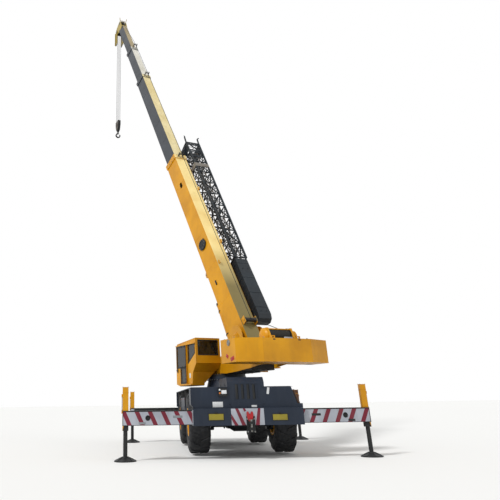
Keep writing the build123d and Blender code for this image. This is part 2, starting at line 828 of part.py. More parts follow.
def cab_glass():
    middle = cab_wall / 2
    panes = []
    for outline, wall_x in ((side_rear_window, cab_left + middle), (right_window, cab_right - middle)):
        panes.append(across(inset(outline, running_gap), wall_x - glass / 2, wall_x + glass / 2))
    for outline, wall_y in ((rear_window, cab_rear + middle), (front_window, cab_front - middle)):
        panes.append(along(inset(outline, running_gap), wall_y - glass / 2, wall_y + glass / 2))
    return panes


def cab_door():
    x1 = cab_left - 10
    x0 = x1 - door_thickness
    body = block(x0, x1, door_rear, door_front, door_bottom, door_top)
    body -= across(side_front_window, x0 - 1, x1 + 1)
    body -= block(x0 - 1, x1 + 1, door_rear + 60, door_rear + 400, door_bottom + 60, 2360)
    return body


def door_glass():
    x = cab_left - 10 - door_thickness / 2
    gap = running_gap
    upper_pane = across(inset(side_front_window, gap), x - glass / 2, x + glass / 2)
    lower = block(
        x - glass / 2, x + glass / 2, door_rear + 60 + gap, door_rear + 400 - gap,
        door_bottom + 60 + gap, 2360 - gap,
    )
    return [upper_pane, lower]


def cab_seat():
    floor = cab_floor + cab_wall + running_gap
    column = block(-1070, -980, 280, 420, floor, 2260)
    column += block(-1130, -925, 200, 500, floor, floor + 30)
    cushion = block(-1230, -770, 130, 600, 2250, 2350)
    back = across([(60, 2280), (160, 2280), (100, 2860), (0, 2860)], -1220, -780)
    return column + cushion + back


def cab_console():
    """Dash on its column, with the steering wheel on a slanted shaft."""
    floor = cab_floor + cab_wall + running_gap
    body = across([(680, floor), (800, floor), (900, 2350), (790, 2420), (700, 2350)], -1190, -980)
    body += strut((-1085, 780, 2400), (-1085, 690, 2520), 40)
    steering = Cylinder(190, 25) - Cylinder(165, 26) + Box(340, 40, 24)
    return body + Pos(-1085, 680, 2530) * Rot(50, 0, 0) * steering


def lift_points():
    """Foot and boom pin of the lift cylinder, and the angle and length between them."""
    angle = radians(boom_angle)
    drop = boom_sections[0].half + lift_pin_drop
    pin_y = pivot_forward + lift_pin_along * cos(angle) + drop * sin(angle)
    pin_z = pivot_z + lift_pin_along * sin(angle) - drop * cos(angle)
    rise = pin_z - lift_foot_z
    run = pin_y - lift_foot_forward
    return degrees(atan2(rise, run)), hypot(rise, run)


def lift_cylinder():
    """Barrel and rod, drawn along Y from the foot pin."""
    slope, length = lift_points()
    barrel = bar_y(barrel_radius, 150, barrel_length, 0, 0)
    barrel += bar_x(eye_radius, -eye_width / 2, eye_width / 2, 0, 0)
    barrel += block(-60, 60, 0, 160, -60, 60)
    barrel -= bar_x(45 + running_gap, -eye_width, eye_width, 0, 0)
    barrel -= bar_y(rod_radius + running_gap, 200, barrel_length + 1, 0, 0)
    rod = bar_y(rod_radius, barrel_length - rod_inserted, length - 60, 0, 0)
    rod += bar_x(eye_radius, -eye_width / 2, eye_width / 2, length, 0)
    rod -= bar_x(45, -eye_width, eye_width, length, 0)
    place = Pos(0, lift_foot_forward, lift_foot_z) * Rot(slope, 0, 0)
    return place * barrel, place * rod


upper["turret_plates"] = turret_plates()
upper["turret_base"] = turret_base()
upper["side_cabinet"] = side_cabinet()
upper["counterweight"] = counterweight()
upper["hoist_frame"] = hoist_frame()
upper["hoist_drum"] = hoist_drum()
upper["cab_shell"] = cab_shell()
upper["cab_glass"] = cab_glass()
upper["cab_door"] = cab_door()
upper["door_glass"] = door_glass()
upper["cab_seat"] = cab_seat()
upper["cab_console"] = cab_console()
upper["lift_barrel"], upper["lift_rod"] = lift_cylinder()

# ---- boom, drawn along Y from its pivot and raised by boom_angle ------------------

boom = {}


def tail_outline(wall):
    """Side outline of the base section, tapered round its pivot, less a wall."""
    base = boom_sections[0]
    return [
        (base.tip + 2, base.half - wall), (base.tail + 150, base.half - wall), (base.tail + wall, 100),
        (base.tail + wall, -100), (base.tail + 350, wall - base.half), (base.tip + 2, wall - base.half),
    ]


def boom_tube(section, start, end, growth):
    """Solid length of a section's outline, grown by a thickness all round."""
    return along(trapezoid(section.top + growth, section.bottom + growth, section.half + growth), start, end)


def boom_section(index):
    """Hollow telescoping section with its collar and the pads that guide it."""
    section = boom_sections[index]
    body = boom_tube(section, section.tail, section.tip, 0)
    inner = boom_tube(section, section.tail - 1, section.tip + 1, -section.wall)
    if index == 0:
        body &= across(tail_outline(0), -section.bottom, section.bottom)
        inner &= across(tail_outline(section.wall), -section.bottom, section.bottom)
    body -= inner
    if index < 3:
        ring = boom_tube(section, section.tip - collar_length, section.tip, collar_height)
        body += ring - boom_tube(section, section.tip - collar_length - 1, section.tip + 1, -1)
        # Bottom pads at the mouth for the next section
        following = boom_sections[index + 1]
        pad_top = -following.half - running_gap
        for side in (-1, 1):
            x = side * (following.bottom - 90)
            body += block(
                x - 60, x + 60, section.tip - 200, section.tip - 20, section.wall - section.half - 1, pad_top,
            )
    if index > 0:
        # Top pads at the tail, under the roof of the section outside
        outside = boom_sections[index - 1]
        pad_end = outside.half - outside.wall - running_gap
        for side in (-1, 1):
            x = side * (section.top - 90)
            body += block(x - 50, x + 50, section.tail + 20, section.tail + 220, section.half - 1, pad_end)
    return body


def base_details(body):
    """Pivot boss, lift lugs, covers, rope guide and jib brackets of the base section."""
    base = boom_sections[0]
    boss_half = plate_in - side_gap
    body += bar_x(130, -boss_half, boss_half, 0, 0)
    body -= bar_x(pivot_radius + running_gap, -boss_half - 1, boss_half + 1, 0, 0)
    drop = base.half + lift_pin_drop
    lug = [
        (lift_pin_along - 260, 1 - base.half), (lift_pin_along - 120, -drop - 60),
        (lift_pin_along - 50, -drop - 120), (lift_pin_along + 50, -drop - 120),
        (lift_pin_along + 120, -drop - 60), (lift_pin_along + 260, 1 - base.half),
    ]
    for side in (-1, 1):
        span = sorted((side * lug_gap / 2, side * (lug_gap / 2 + lug_plate)))
        body += across(lug, *span) - bar_x(45, span[0] - 1, span[1] + 1, lift_pin_along, -drop)
    # Round cover and oval hole in the sloping left side
    slope = atan2(base.bottom - base.top, 2 * base.half)
    outward = (-cos(slope), 0, sin(slope))
    left_face = Plane(origin=(-(base.top + base.bottom) / 2, 0, 0), x_dir=(0, 1, 0), z_dir=outward)
    cover = left_face * Pos(cover_y, 0) * Circle(cover_radius)
    body += extrude(cover, 45, dir=outward) + extrude(cover, -5, dir=outward)
    body -= extrude(left_face * Pos(slot_y, -60) * SlotOverall(slot_length, slot_width), 60, both=True)
    # Rope guide roller over the foot, and lugs along the top
    for side in (-1, 1):
        cheek = sorted((side * 200, side * 222))
        body += block(*cheek, guide_y - 110, guide_y + 110, base.half - 1, base.half + 190)
    body += bar_x(62, -201, 201, guide_y, base.half + 120)
    for x, y in lug_places:
        eye = block(x - 12, x + 12, y - 70, y + 70, base.half - 1, base.half + 105)
        body += eye - bar_x(30, x - 13, x + 13, y, base.half + 60)
    # Brackets that hold the stowed jib
    chord_face = jib_inner_x - chord / 2 - running_gap
    for y in (1000, jib_box_end + 150, jib_root - 950):
        end = chord_face if y > jib_box_end else jib_inner_x - 20 - running_gap
        body += block(290, end, y, y + 90, jib_low - 30, jib_low + 30)
    return body


def nose_point(reach, offset):
    """Point of the hanging nose, this far plumb below the lower sheaves and level to one side."""
    angle = radians(boom_angle)
    return (
        lower_sheave_y - reach * sin(angle) + offset * cos(angle),
        lower_sheave_z - reach * cos(angle) - offset * sin(angle),
    )


def boom_head(body):
    """Side plates of the boom head, the sheave pins, and the auxiliary nose folded down beside the falls."""
    last = boom_sections[3]
    back = last.tip - 120
    outline = [
        (back, last.half - 40), (upper_sheave_y - 80, upper_sheave_z + 190),
        (upper_sheave_y + 90, upper_sheave_z + 150), (upper_sheave_y + 180, upper_sheave_z + 40),
        (lower_sheave_y + 190, lower_sheave_z + 80), (lower_sheave_y + 120, lower_sheave_z - 150),
        (lower_sheave_y - 100, lower_sheave_z - 160), (back, 20 - last.half),
    ]
    deep = nose_depth / 2
    nose = [
        nose_point(0, deep), nose_point(0, -deep),
        nose_point(nose_length - 80, -deep), nose_point(nose_length, 80 - deep),
        nose_point(nose_length, deep - 80), nose_point(nose_length - 80, deep),
    ]
    inner = head_half_width
    outer = inner + head_plate
    plate = across(outline, inner, outer) + across(nose, inner, outer)
    # Turned-out flanges down both edges of the nose
    for edge in (-deep, deep - 20):
        strip = [
            nose_point(60, edge), nose_point(60, edge + 20), nose_point(nose_length - 90, edge + 20),
            nose_point(nose_length - 90, edge),
        ]
        plate += across(strip, outer - 1, outer + 45)
    body += plate + mirrored(plate)
    body += block(-inner, inner, last.tip - 60, last.tip, -last.half, last.half)
    for y, z in ((upper_sheave_y, upper_sheave_z), (lower_sheave_y, lower_sheave_z)):
        body += bar_x(sheave_pin_radius, -inner - 1, inner + 1, y, z)
    # Rope guard horns over the upper sheaves
    for side in (-1, 1):
        root = (side * (inner + 10), upper_sheave_y, upper_sheave_z + 140)
        body += strut(root, (side * (inner + 60), upper_sheave_y + 190, upper_sheave_z + 330), 30)
    return body


def sheave(radius, x, y, z):
    """Grooved sheave on a pin along X."""
    half = sheave_width / 2
    outline = [
        (-half, sheave_pin_radius + running_gap), (half, sheave_pin_radius + running_gap), (half, radius),
        (10, radius - groove_depth), (-10, radius - groove_depth), (-half, radius),
    ]
    return Pos(x, y, z) * revolve(Polygon(*outline, align=None), Axis.X)


def head_sheaves():
    wheels = [sheave(upper_sheave_radius, x, upper_sheave_y, upper_sheave_z) for x in (-60, 60)]
    for place in (-1.5, -0.5, 0.5, 1.5):
        wheels.append(sheave(lower_sheave_radius, place * sheave_pitch, lower_sheave_y, lower_sheave_z))
    return wheels


def jib_lattice():
    """Lattice part of the stowed jib: four chords, braces and the forked root."""
    x_in = jib_inner_x
    rows = []
    length = jib_root - jib_box_end
    for i in range(jib_bays + 1):
        t = i / jib_bays
        y = jib_box_end + t * length
        full = (y - jib_tip) / (jib_root - jib_tip)
        width = jib_tip_width + full * (jib_root_width - jib_tip_width)
        top = jib_tip_top + full * (jib_root_top - jib_tip_top)
        rows.append([(x_in, y, jib_low), (x_in + width, y, jib_low), (x_in + width, y, top), (x_in, y, top)])
    body = None
    for corner in range(4):
        piece = strut(rows[0][corner], rows[-1][corner], chord)
        body = piece if body is None else body + piece
    for i in range(jib_bays + 1):
        for corner in range(4):
            following = (corner + 1) % 4
            body += strut(rows[i][corner], rows[i][following], brace)
            if i < jib_bays:
                swap = (i + corner) % 2
                ends = (rows[i][corner], rows[i + 1][following])
                other = (rows[i][following], rows[i + 1][corner])
                body += strut(*(ends if swap else other), brace)
    # Forked root horns that take the boom head's pins
    for corner in (2, 3):
        x, y, z = rows[-1][corner]
        body += strut((x, y - 20, z), (x, y + 330, z + 40), 50)
    return body


def jib_head():
    """Plated inner end of the jib with its sheave housing."""
    x_in = jib_inner_x
    full = (jib_box_end - jib_tip) / (jib_root - jib_tip)
    width = jib_tip_width + full * (jib_root_width - jib_tip_width)
    top = jib_tip_top + full * (jib_root_top - jib_tip_top)
    end = jib_box_end - chord
    outline = [
        (end, jib_low - 20), (end, top), (jib_tip + 200, jib_tip_top), (jib_tip + 60, jib_tip_top - 60),
        (jib_tip, jib_tip_top - 200), (jib_tip + 60, jib_low + 60), (jib_tip + 220, jib_low - 20),
    ]
    plate = 12
    inner = across(inset(outline, plate), x_in - 20 + plate, x_in + width - plate)
    return across(outline, x_in - 20, x_in + width) - inner


for index, section in enumerate(boom_sections):
    boom[section.name] = boom_section(index)
boom["boom_base"] = base_details(boom["boom_base"])
boom["boom_fourth"] = boom_head(boom["boom_fourth"])
boom["head_sheaves"] = head_sheaves()
boom["jib_lattice"] = jib_lattice()
boom["jib_head"] = jib_head()

# ---- falls and hook, hanging plumb from the lower head sheaves --------------------


def boom_to_upper(y, z):
    """Point of the boom's own (Y, Z) in the upper works' (Y, Z)."""
    angle = radians(boom_angle)
    return pivot_forward + y * cos(angle) - z * sin(angle), pivot_z + y * sin(angle) + z * cos(angle)


head_y, head_z = boom_to_upper(lower_sheave_y, lower_sheave_z)


def falls():
    """Four parts of rope from the head sheaves down to the block."""
    ropes = []
    reach = lower_sheave_radius - groove_depth + rope_radius + running_gap
    for x in (-sheave_pitch / 2, sheave_pitch / 2):
        for y in (head_y - reach, head_y + reach):
            ropes.append(bar_z(rope_radius, head_z - fall_length, head_z, x, y))
    return ropes


def hook_block():
    top = head_z - fall_length - running_gap
    low = top - block_height
    outline = [
        (-230, top), (230, top), (230, top - 250), (170, low + 150), (90, low), (-90, low),
        (-170, low + 150), (-230, top - 250),
    ]
    body = across([(head_y + y, z) for y, z in outline], -block_half_width, block_half_width)
    shank = bar_z(45, low - 190, low + 5, 0, head_y) + bar_z(75, low - 60, low + 5, 0, head_y)
    # Hook: most of a ring, open above its tip
    bowl = Circle(150) - Circle(85) - Pos(95, 75) * Rectangle(190, 150)
    bowl += Pos(-30, 130) * Rectangle(90, 80) + Pos(118, 20) * Rectangle(60, 60)
    outline = Plane.XZ.offset(-head_y - hook_thickness / 2) * Pos(0, low - hook_drop) * bowl
    return body + shank + extrude(outline, hook_thickness, dir=(0, -1, 0))


upper["falls"] = falls()
upper["hook_block"] = hook_block()

# ---- place and write ----------------------------------------------------------

boom_place = Pos(0, pivot_forward, pivot_z) * Rot(boom_angle, 0, 0)
swing_place = Rot(0, 0, swing_angle)


def placed(shape, place):
    if isinstance(shape, list):
        return [place * piece for piece in shape]
    return place * shape


for name, shape in boom.items():
    upper[name] = placed(shape, boom_place)
for name, shape in upper.items():
    nodes[name] = placed(shape, swing_place)

for name, shape in nodes.items():
    solids = shape if isinstance(shape, list) else [shape]
    whole = []
    for piece in solids:
        whole.extend(piece.solids())
    export_step(Compound(children=whole), f"parts/{name}.step")
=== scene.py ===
import bpy
import bmesh
import json
import math
from mathutils import Matrix, Vector


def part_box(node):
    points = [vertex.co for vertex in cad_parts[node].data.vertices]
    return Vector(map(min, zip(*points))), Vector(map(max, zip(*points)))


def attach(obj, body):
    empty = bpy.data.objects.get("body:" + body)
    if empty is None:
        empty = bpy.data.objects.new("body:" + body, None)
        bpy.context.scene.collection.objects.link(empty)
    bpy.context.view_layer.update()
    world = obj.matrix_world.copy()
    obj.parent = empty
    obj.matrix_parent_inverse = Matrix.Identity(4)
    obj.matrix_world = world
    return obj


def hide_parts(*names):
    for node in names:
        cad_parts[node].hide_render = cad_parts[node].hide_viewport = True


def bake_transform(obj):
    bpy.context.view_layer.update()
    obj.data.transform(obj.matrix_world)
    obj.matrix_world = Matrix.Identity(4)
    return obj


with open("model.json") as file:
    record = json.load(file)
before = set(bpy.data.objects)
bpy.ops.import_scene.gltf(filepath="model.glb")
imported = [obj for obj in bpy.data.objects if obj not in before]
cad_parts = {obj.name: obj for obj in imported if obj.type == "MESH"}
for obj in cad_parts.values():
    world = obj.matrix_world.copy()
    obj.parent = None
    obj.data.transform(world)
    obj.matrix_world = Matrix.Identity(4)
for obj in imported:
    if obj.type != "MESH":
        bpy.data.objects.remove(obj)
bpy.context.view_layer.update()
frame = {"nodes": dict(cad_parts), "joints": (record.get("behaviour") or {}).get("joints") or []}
scene = bpy.context.scene
scene.view_settings.view_transform = "Standard"
nodes = frame["nodes"]
joints = {joint["name"]: joint for joint in frame["joints"]}
print("frame loaded:", len(nodes), "nodes")


def linearColour(hexCode):
    channels = [int(hexCode[i:i + 2], 16) / 255 for i in (0, 2, 4)]
    return [c / 12.92 if c <= 0.04045 else ((c + 0.055) / 1.055) ** 2.4 for c in channels] + [1.0]


def setNode(node, settings=None, links=None):
    # stops are a colour ramp's places and hex colours; any other key is a property or a socket
    for key, value in (settings or {}).items():
        if key == "stops":
            for element, (place, hexCode) in zip(node.color_ramp.elements, value):
                element.position, element.color = place, linearColour(hexCode)
        elif isinstance(key, str) and hasattr(node, key):
            setattr(node, key, value)
        else:
            node.inputs[key].default_value = value
    for key, (source, output) in (links or {}).items():
        node.id_data.links.new(source.outputs[output], node.inputs[key])
    return node


def addNode(tree, kind, settings=None, links=None):
    return setNode(tree.nodes.new("ShaderNode" + kind), settings, links)


def newMaterial(name, values=None):
    material = bpy.data.materials.new(name)
    material.use_nodes = True
    tree = material.node_tree
    shader = setNode(tree.nodes["Principled BSDF"], values)
    return material, tree, shader, {"Vector": (addNode(tree, "TexCoord"), "Object")}


def patterned(name, values, tone=None, relief=None):
    # tone lays two colours in one pattern; relief raises another as a bump
    material, tree, shader, onObject = newMaterial(name, values)
    pattern = None
    if tone:
        kind, settings, stops = tone
        pattern = addNode(tree, kind, settings, onObject)
        ramp = addNode(tree, "ValToRGB", {"stops": stops}, {"Fac": (pattern, "Fac")})
        setNode(shader, links={"Base Color": (ramp, "Color")})
    if relief:
        kind, settings, output, strength, depth = relief
        height = addNode(tree, kind, settings, onObject)
        bump = addNode(tree, "Bump", {"Strength": strength, "Distance": depth}, {"Height": (height, output)})
        setNode(shader, links={"Normal": (bump, "Normal")})
    return material, tree, shader, pattern


def sprayedEnamel(name, colour, shaded, dust="6f675a", dustAmount=0.25, roughness=0.38, paintedShadow=None):
    # two-pack enamel sprayed on steel plate: faint orange peel, sun-faded patches, road dust in streaks
    material, tree, shader, onObject = newMaterial(name, {"Specular IOR Level": 0.3})
    fade = addNode(tree, "TexNoise", {"Scale": 1.1, "Detail": 4.0}, onObject)   # 900 mm patches
    paint = addNode(tree, "ValToRGB", {"stops": [(0.35, shaded), (0.65, colour)]}, {"Fac": (fade, "Fac")})
    stretch = addNode(tree, "Mapping", {"Scale": (9.0, 9.0, 1.6)}, onObject)
    # runs of dust, 110 mm wide
    streak = addNode(tree, "TexNoise", {"Scale": 1.0, "Detail": 6.0}, {"Vector": (stretch, "Vector")})
    mask = addNode(tree, "ValToRGB", {"stops": [(0.5, "000000"), (0.78, "ffffff")]}, {"Fac": (streak, "Fac")})
    amount = addNode(tree, "Math", {"operation": "MULTIPLY", 1: dustAmount}, {0: (mask, "Color")})
    colours = {"data_type": "RGBA", 7: linearColour(dust)}   # inputs 6 and 7 are the two colours
    finished = addNode(tree, "Mix", colours, {"Factor": (amount, "Value"), 6: (paint, "Color")})
    if paintedShadow:
        # painted shadow: a cast shadow across the boom's top that deepens towards the foot of the boom, by height in
        # metres
        low, high, shadowColour = paintedShadow
        height = addNode(tree, "SeparateXYZ", links=onObject)
        ends = {"From Min": low, "From Max": high, "To Min": 1.0, "To Max": 0.0}
        depth = addNode(tree, "MapRange", ends, {"Value": (height, "Z")})
        colours = {"data_type": "RGBA", 7: linearColour(shadowColour)}
        finished = addNode(tree, "Mix", colours, {"Factor": (depth, "Result"), 6: (finished, 2)})
    ends = {"To Min": roughness, "To Max": roughness + 0.3}
    gloss = addNode(tree, "MapRange", ends, {"Value": (amount, "Value")})
    # orange peel of 11 mm: coarser than the real one, to show
    peel = addNode(tree, "TexNoise", {"Scale": 90.0, "Detail": 2.0}, onObject)
    bump = addNode(tree, "Bump", {"Strength": 0.12, "Distance": 0.002}, {"Height": (peel, "Fac")})
    links = {"Base Color": (finished, 2), "Roughness": (gloss, "Result"), "Normal": (bump, "Normal")}
    setNode(shader, links=links)
    return material


def vulcanisedRubber(name, colour, dusty, roughness=0.78):
    # carbon-black rubber, moulded: matt, greyed by soil in 70 mm blotches, with a grain of 4 mm
    tone = ("TexNoise", {"Scale": 14.0, "Detail": 7.0}, [(0.42, colour), (0.72, dusty)])
    grain = ("TexNoise", {"Scale": 260.0, "Detail": 2.0}, "Fac", 0.25, 0.003)
    return patterned(name, {"Roughness": roughness}, tone, grain)[0]


def greasedSteel(name, colour, stain, roughness=0.45, metallic=0.85, scale=25.0):
    # machined or drawn steel with a film of grease: broken highlights and brown stain, in 40 mm smears
    tone = ("TexNoise", {"Scale": scale, "Detail": 6.0}, [(0.4, colour), (0.7, stain)])
    material, tree, shader, film = patterned(name, {"Metallic": metallic}, tone)
    ends = {"To Min": roughness - 0.1, "To Max": roughness + 0.2}
    rough = addNode(tree, "MapRange", ends, {"Value": (film, "Fac")})
    setNode(shader, links={"Roughness": (rough, "Result")})
    return material


def strandedWireRope(name, colour, grease, diameter):
    # six-strand steel rope: the strands show as slanted bands, 13 mm wide on a rope of 19 mm
    lay = {"Scale": 1.0 / (diameter * 2.2), "Distortion": 0.6, "bands_direction": "DIAGONAL"}
    tone = ("TexWave", lay, [(0.25, grease), (0.75, colour)])
    return patterned(name, {"Metallic": 0.25, "Roughness": 0.65}, tone, ("TexWave", lay, "Fac", 0.6, 0.003))[0]


def toughenedGlass(name, colour, dust, alpha):
    # grey-tinted safety glass: see-through, with a hard reflection and a little dust in 140 mm patches
    tone = ("TexNoise", {"Scale": 7.0, "Detail": 5.0}, [(0.45, colour), (0.8, dust)])
    return patterned(name, {"Roughness": 0.05, "IOR": 1.52, "Alpha": alpha}, tone)[0]


def mouldedLens(name, colour):
    # ribbed polycarbonate lamp lens: clear colour, sharp highlight, ribs of 11 mm
    values = {"Base Color": linearColour(colour), "Roughness": 0.15, "IOR": 1.58}
    return patterned(name, values, relief=("TexWave", {"Scale": 30.0}, "Fac", 0.3, 0.002))[0]


def stitchedVinyl(name, colour, worn):
    # grained vinyl over foam: leather grain in 6 mm cells, polished where it is sat on
    tone = ("TexNoise", {"Scale": 6.0}, [(0.4, colour), (0.7, worn)])
    return patterned(name, {"Roughness": 0.55}, tone, ("TexVoronoi", {"Scale": 160.0}, "Distance", 0.3, 0.002))[0]


def rolledChequerPlate(name, colour, worn):
    # steel tread plate: rows of raised lozenges, 55 by 24 mm, rubbed bright in 330 mm walked patches
    tone = ("TexNoise", {"Scale": 3.0, "Detail": 5.0}, [(0.4, colour), (0.7, worn)])
    material, tree, shader, pattern = patterned(name, {"Roughness": 0.6}, tone)
    onObject = {"Vector": (tree.nodes["Texture Coordinate"], "Object")}
    turned = addNode(tree, "Mapping", {"Rotation": (0.0, 0.0, math.radians(45))}, onObject)
    lozenge = {"Scale": 9.0, "Mortar Size": 0.03, "Brick Width": 0.5, "Row Height": 0.22}
    cells = addNode(tree, "TexBrick", lozenge, {"Vector": (turned, "Vector")})
    bump = addNode(tree, "Bump", {"Strength": 0.7, "Distance": 0.004, "invert": True}, {"Height": (cells, "Fac")})
    setNode(shader, links={"Normal": (bump, "Normal")})
    return material


yellowEnamel = sprayedEnamel("yellowEnamelOnPlate", "d29409", "bc8107", "6f5a2c", 0.1)
# the base section's top face: the same yellow paint drawn lighter as painted sunlight, with a painted shadow near the
# foot
paintedSunlitYellowTop = sprayedEnamel("paintedSunlitYellowEnamel", "f8e09a", "edcd80", dustAmount=0.08, paintedShadow=(4.9, 6.5, "7d7044"))
slateEnamel = sprayedEnamel("slateEnamelOnBoomSide", "343940", "292d33", "55565a", 0.15)
# the upper sections' top faces: paler paint than their slate sides, brightened further as painted sunlight
paleTopWithPaintedSun = sprayedEnamel("paleEnamelWithPaintedSunOnBoomTop", "dcd9ce", "c9c5b6", dustAmount=0.2)
brownTopWithPaintedSun = sprayedEnamel("brownEnamelWithPaintedSunOnBoomTop", "a3936d", "8b7a55", dustAmount=0.3)
creamTopWithPaintedSun = sprayedEnamel("creamEnamelWithPaintedSunOnBoomTop", "e8d9a8", "d8c58a")
charcoalEnamel = sprayedEnamel("charcoalEnamelOnPlate", "1d2736", "17202d", "43464c", 0.15, 0.45)
brownEnamel = sprayedEnamel("darkBrownEnamelOnPost", "6a4228", "4c2f1e", "5a4a3c", 0.3)
blackEnamel = sprayedEnamel("blackEnamelOnSteel", "1d1f21", "151718", "4a463f", 0.3, 0.5)
jibEnamel = sprayedEnamel("darkSlateEnamelOnTube", "1e262c", "181e24", "4a4c4c", 0.18, 0.5)
chequerPlate = rolledChequerPlate("chequerPlateOnDeck", "2b3038", "4a4b4c")
paleHorn = sprayedEnamel("paleYellowEnamelOnHead", "a8923c", "8b7830", dustAmount=0.2)
hookPaint = sprayedEnamel("wornEnamelOnHookBlock", "514a40", "3d3833", dustAmount=0.3, roughness=0.5)
jibPale = sprayedEnamel("greyPrimerOnTube", "7c776f", "5c5349", dustAmount=0.3)
whiteEnamel = sprayedEnamel("whiteEnamelOnBeam", "a9adb5", "9397a0", "5f5b57", 0.3)
maroonTape = sprayedEnamel("maroonReflectiveTape", "761f31", "641828", dustAmount=0.15, roughness=0.3)
redEnamel = sprayedEnamel("redEnamelOnForging", "b3262c", "951d22", dustAmount=0.15)
plateYellow = sprayedEnamel("blankYellowPlate", "93852c", "7f7324", "5c563a")
plateGrey = sprayedEnamel("blankGreyPlate", "84888c", "74787c", dustAmount=0.3)
plateWhite = sprayedEnamel("blankWhitePlate", "d5d6d6", "c2c4c6", dustAmount=0.15)
tyreRubber = vulcanisedRubber("vulcanisedTyreRubber", "131519", "2a2a2a")
hoseRubber = vulcanisedRubber("braidedHoseRubber", "141516", "2a2927", 0.6)
gasketRubber = vulcanisedRubber("extrudedWindowRubber", "101112", "1c1d1e", 0.65)
rodChrome = greasedSteel("chromePlatedRod", "c4c6c8", "a9a498", 0.16, 1.0)
castSteel = greasedSteel("greasedCastSteel", "2b2c2d", "3a3027", 0.55, 0.5)
zincSteel = greasedSteel("zincPlatedFastener", "8d9091", "6d6658", 0.4, 0.9)
engineIron = greasedSteel("oilyEngineIron", "3a3d40", "26221d", 0.6, 0.4)
rustyPipe = greasedSteel("scaledExhaustSteel", "5a4334", "3b2c22", 0.75, 0.2, 60.0)
ropeSteel = strandedWireRope("greasedSixStrandRope", "201f1d", "0d0c0b", 0.019)
woundSteel = greasedSteel("greasedRopeOnDrum", "1c1c1b", "2c2822", 0.5, 0.5, 50.0)
cabGlass = toughenedGlass("tintedToughenedGlass", "131412", "25282a", 0.88)
clearLens = mouldedLens("clearPolycarbonateLens", "d8dadc")
redLens = mouldedLens("redPolycarbonateLens", "8c1a1c")
amberLens = mouldedLens("amberPolycarbonateLens", "c26a14")
seatVinyl = stitchedVinyl("stitchedSeatVinyl", "1c1d1f", "2c2c2e")
dashPlastic = stitchedVinyl("mouldedDashPlastic", "202224", "2b2d2f")
print("materials made")


def frameFrom(origin, xAxis, yAxis):
    matrix = Matrix((xAxis, yAxis, xAxis.cross(yAxis).normalized())).transposed().to_4x4()
    return Matrix.Translation(origin) @ matrix


# frames that the pieces are drawn in, right, forward and up; what isn't listed is drawn in the carrier's
upperX = Vector(joints["luff"]["axis"]).normalized()
upper = frameFrom(Vector((0, 0, 0)), upperX, Vector((-upperX.y, upperX.x, 0)))
boom = frameFrom(Vector(joints["luff"]["pos_m"]), upperX, Vector(joints["extend_second"]["axis"]).normalized())
barrel = frameFrom(Vector(joints["barrel_swing"]["pos_m"]), upperX, Vector(joints["rod_slide"]["axis"]).normalized())
headPivot = boom.inverted() @ Vector(joints["hook_hang"]["pos_m"])
footPin = upper.inverted() @ Vector(joints["barrel_swing"]["pos_m"])
drumAxis = upper.inverted() @ Vector(joints["drum_turn"]["pos_m"])
luffPin = (-1.44, 3.149)   # forward and up in the upper works' frame
luffShown = math.radians(59.3)
hookY = headPivot.y * math.cos(luffShown) - headPivot.z * math.sin(luffShown) + luffPin[0]
hookFrame = upper @ Matrix.Translation((0, hookY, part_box("hook_block")[1].z))
world = Matrix.Identity(4)
placeOf = {"upper_works": upper, "hoist_drum": upper, "cab_door": upper, "lift_barrel": barrel, "hook": hookFrame}
for section in ("base", "second", "third", "fourth"):
    placeOf["boom_" + section] = boom

bm = bmesh.new()   # every add function draws into this mesh, and finishPiece empties it


def turnTo(direction):
    return Vector((0, 0, 1)).rotation_difference(Vector(direction)).to_matrix().to_4x4()


def turns(count, start=0.0):
    # evenly spread angles, the first one by a share of a step
    return [2 * math.pi * (i + start) / count for i in range(count)]


def circle(centre, axis, radius, count, start=0.0):
    # evenly spread points round an axis
    point = {"x": lambda c, s: (0, c, s), "y": lambda c, s: (c, 0, s), "z": lambda c, s: (c, s, 0)}[axis]
    return [Vector(centre) + radius * Vector(point(math.cos(a), math.sin(a))) for a in turns(count, start)]


def plug(radius, low, high):
    # profile of a plain solid pin
    return [(0, low), (radius, low), (radius, high), (0, high)]


def addBlock(one, two, rounding=0.0, place=None):
    # corners may be given in any order
    made = bmesh.ops.create_cube(bm, size=1.0)
    size = [abs(b - a) for a, b in zip(one, two)]
    middle = [(a + b) / 2 for a, b in zip(one, two)]
    matrix = (place or world) @ Matrix.Translation(middle) @ Matrix.Diagonal((*size, 1.0))
    bmesh.ops.transform(bm, matrix=matrix, verts=made["verts"])
    if rounding:
        edges = list({e for v in made["verts"] for e in v.link_edges})
        bmesh.ops.bevel(bm, geom=edges, offset=rounding, segments=2, affect="EDGES", profile=0.5)


def addLoft(rings, closed=False):
    # a skin over rings of points, capped at both ends unless it closes on itself
    rings = [[bm.verts.new(point) for point in ring] for ring in rings]
    for one, two in list(zip(rings, rings[1:])) + ([(rings[-1], rings[0])] if closed else []):
        for k in range(len(one)):
            m = (k + 1) % len(one)
            bm.faces.new((one[k], one[m], two[m], two[k]))
    if not closed:
        bm.faces.new(rings[0][::-1])
        bm.faces.new(rings[-1])


def addSlab(outline, low, high, axis="x"):
    order = {"x": lambda a, b, t: (t, a, b), "y": lambda a, b, t: (a, t, b), "z": lambda a, b, t: (a, b, t)}[axis]
    addLoft([[order(a, b, t) for a, b in outline] for t in (low, high)])


def addLathe(profile, origin, direction, steps=32):
    # radius and height along the profile are in millimetres
    place = Matrix.Translation(origin) @ turnTo(direction)
    rings = []
    for radius, height in profile:
        corners = turns(steps) if radius else [0.0]
        r, h = radius / 1000, height / 1000
        rings.append([bm.verts.new(place @ Vector((r * math.cos(a), r * math.sin(a), h))) for a in corners])
    for lower, higher in zip(rings, rings[1:]):
        for i in range(steps):
            j = (i + 1) % steps
            corners = [lower[i % len(lower)], lower[j % len(lower)], higher[j % len(higher)], higher[i % len(higher)]]
            corners = [v for k, v in enumerate(corners) if v not in corners[:k]]
            if len(corners) > 2:
                bm.faces.new(corners)


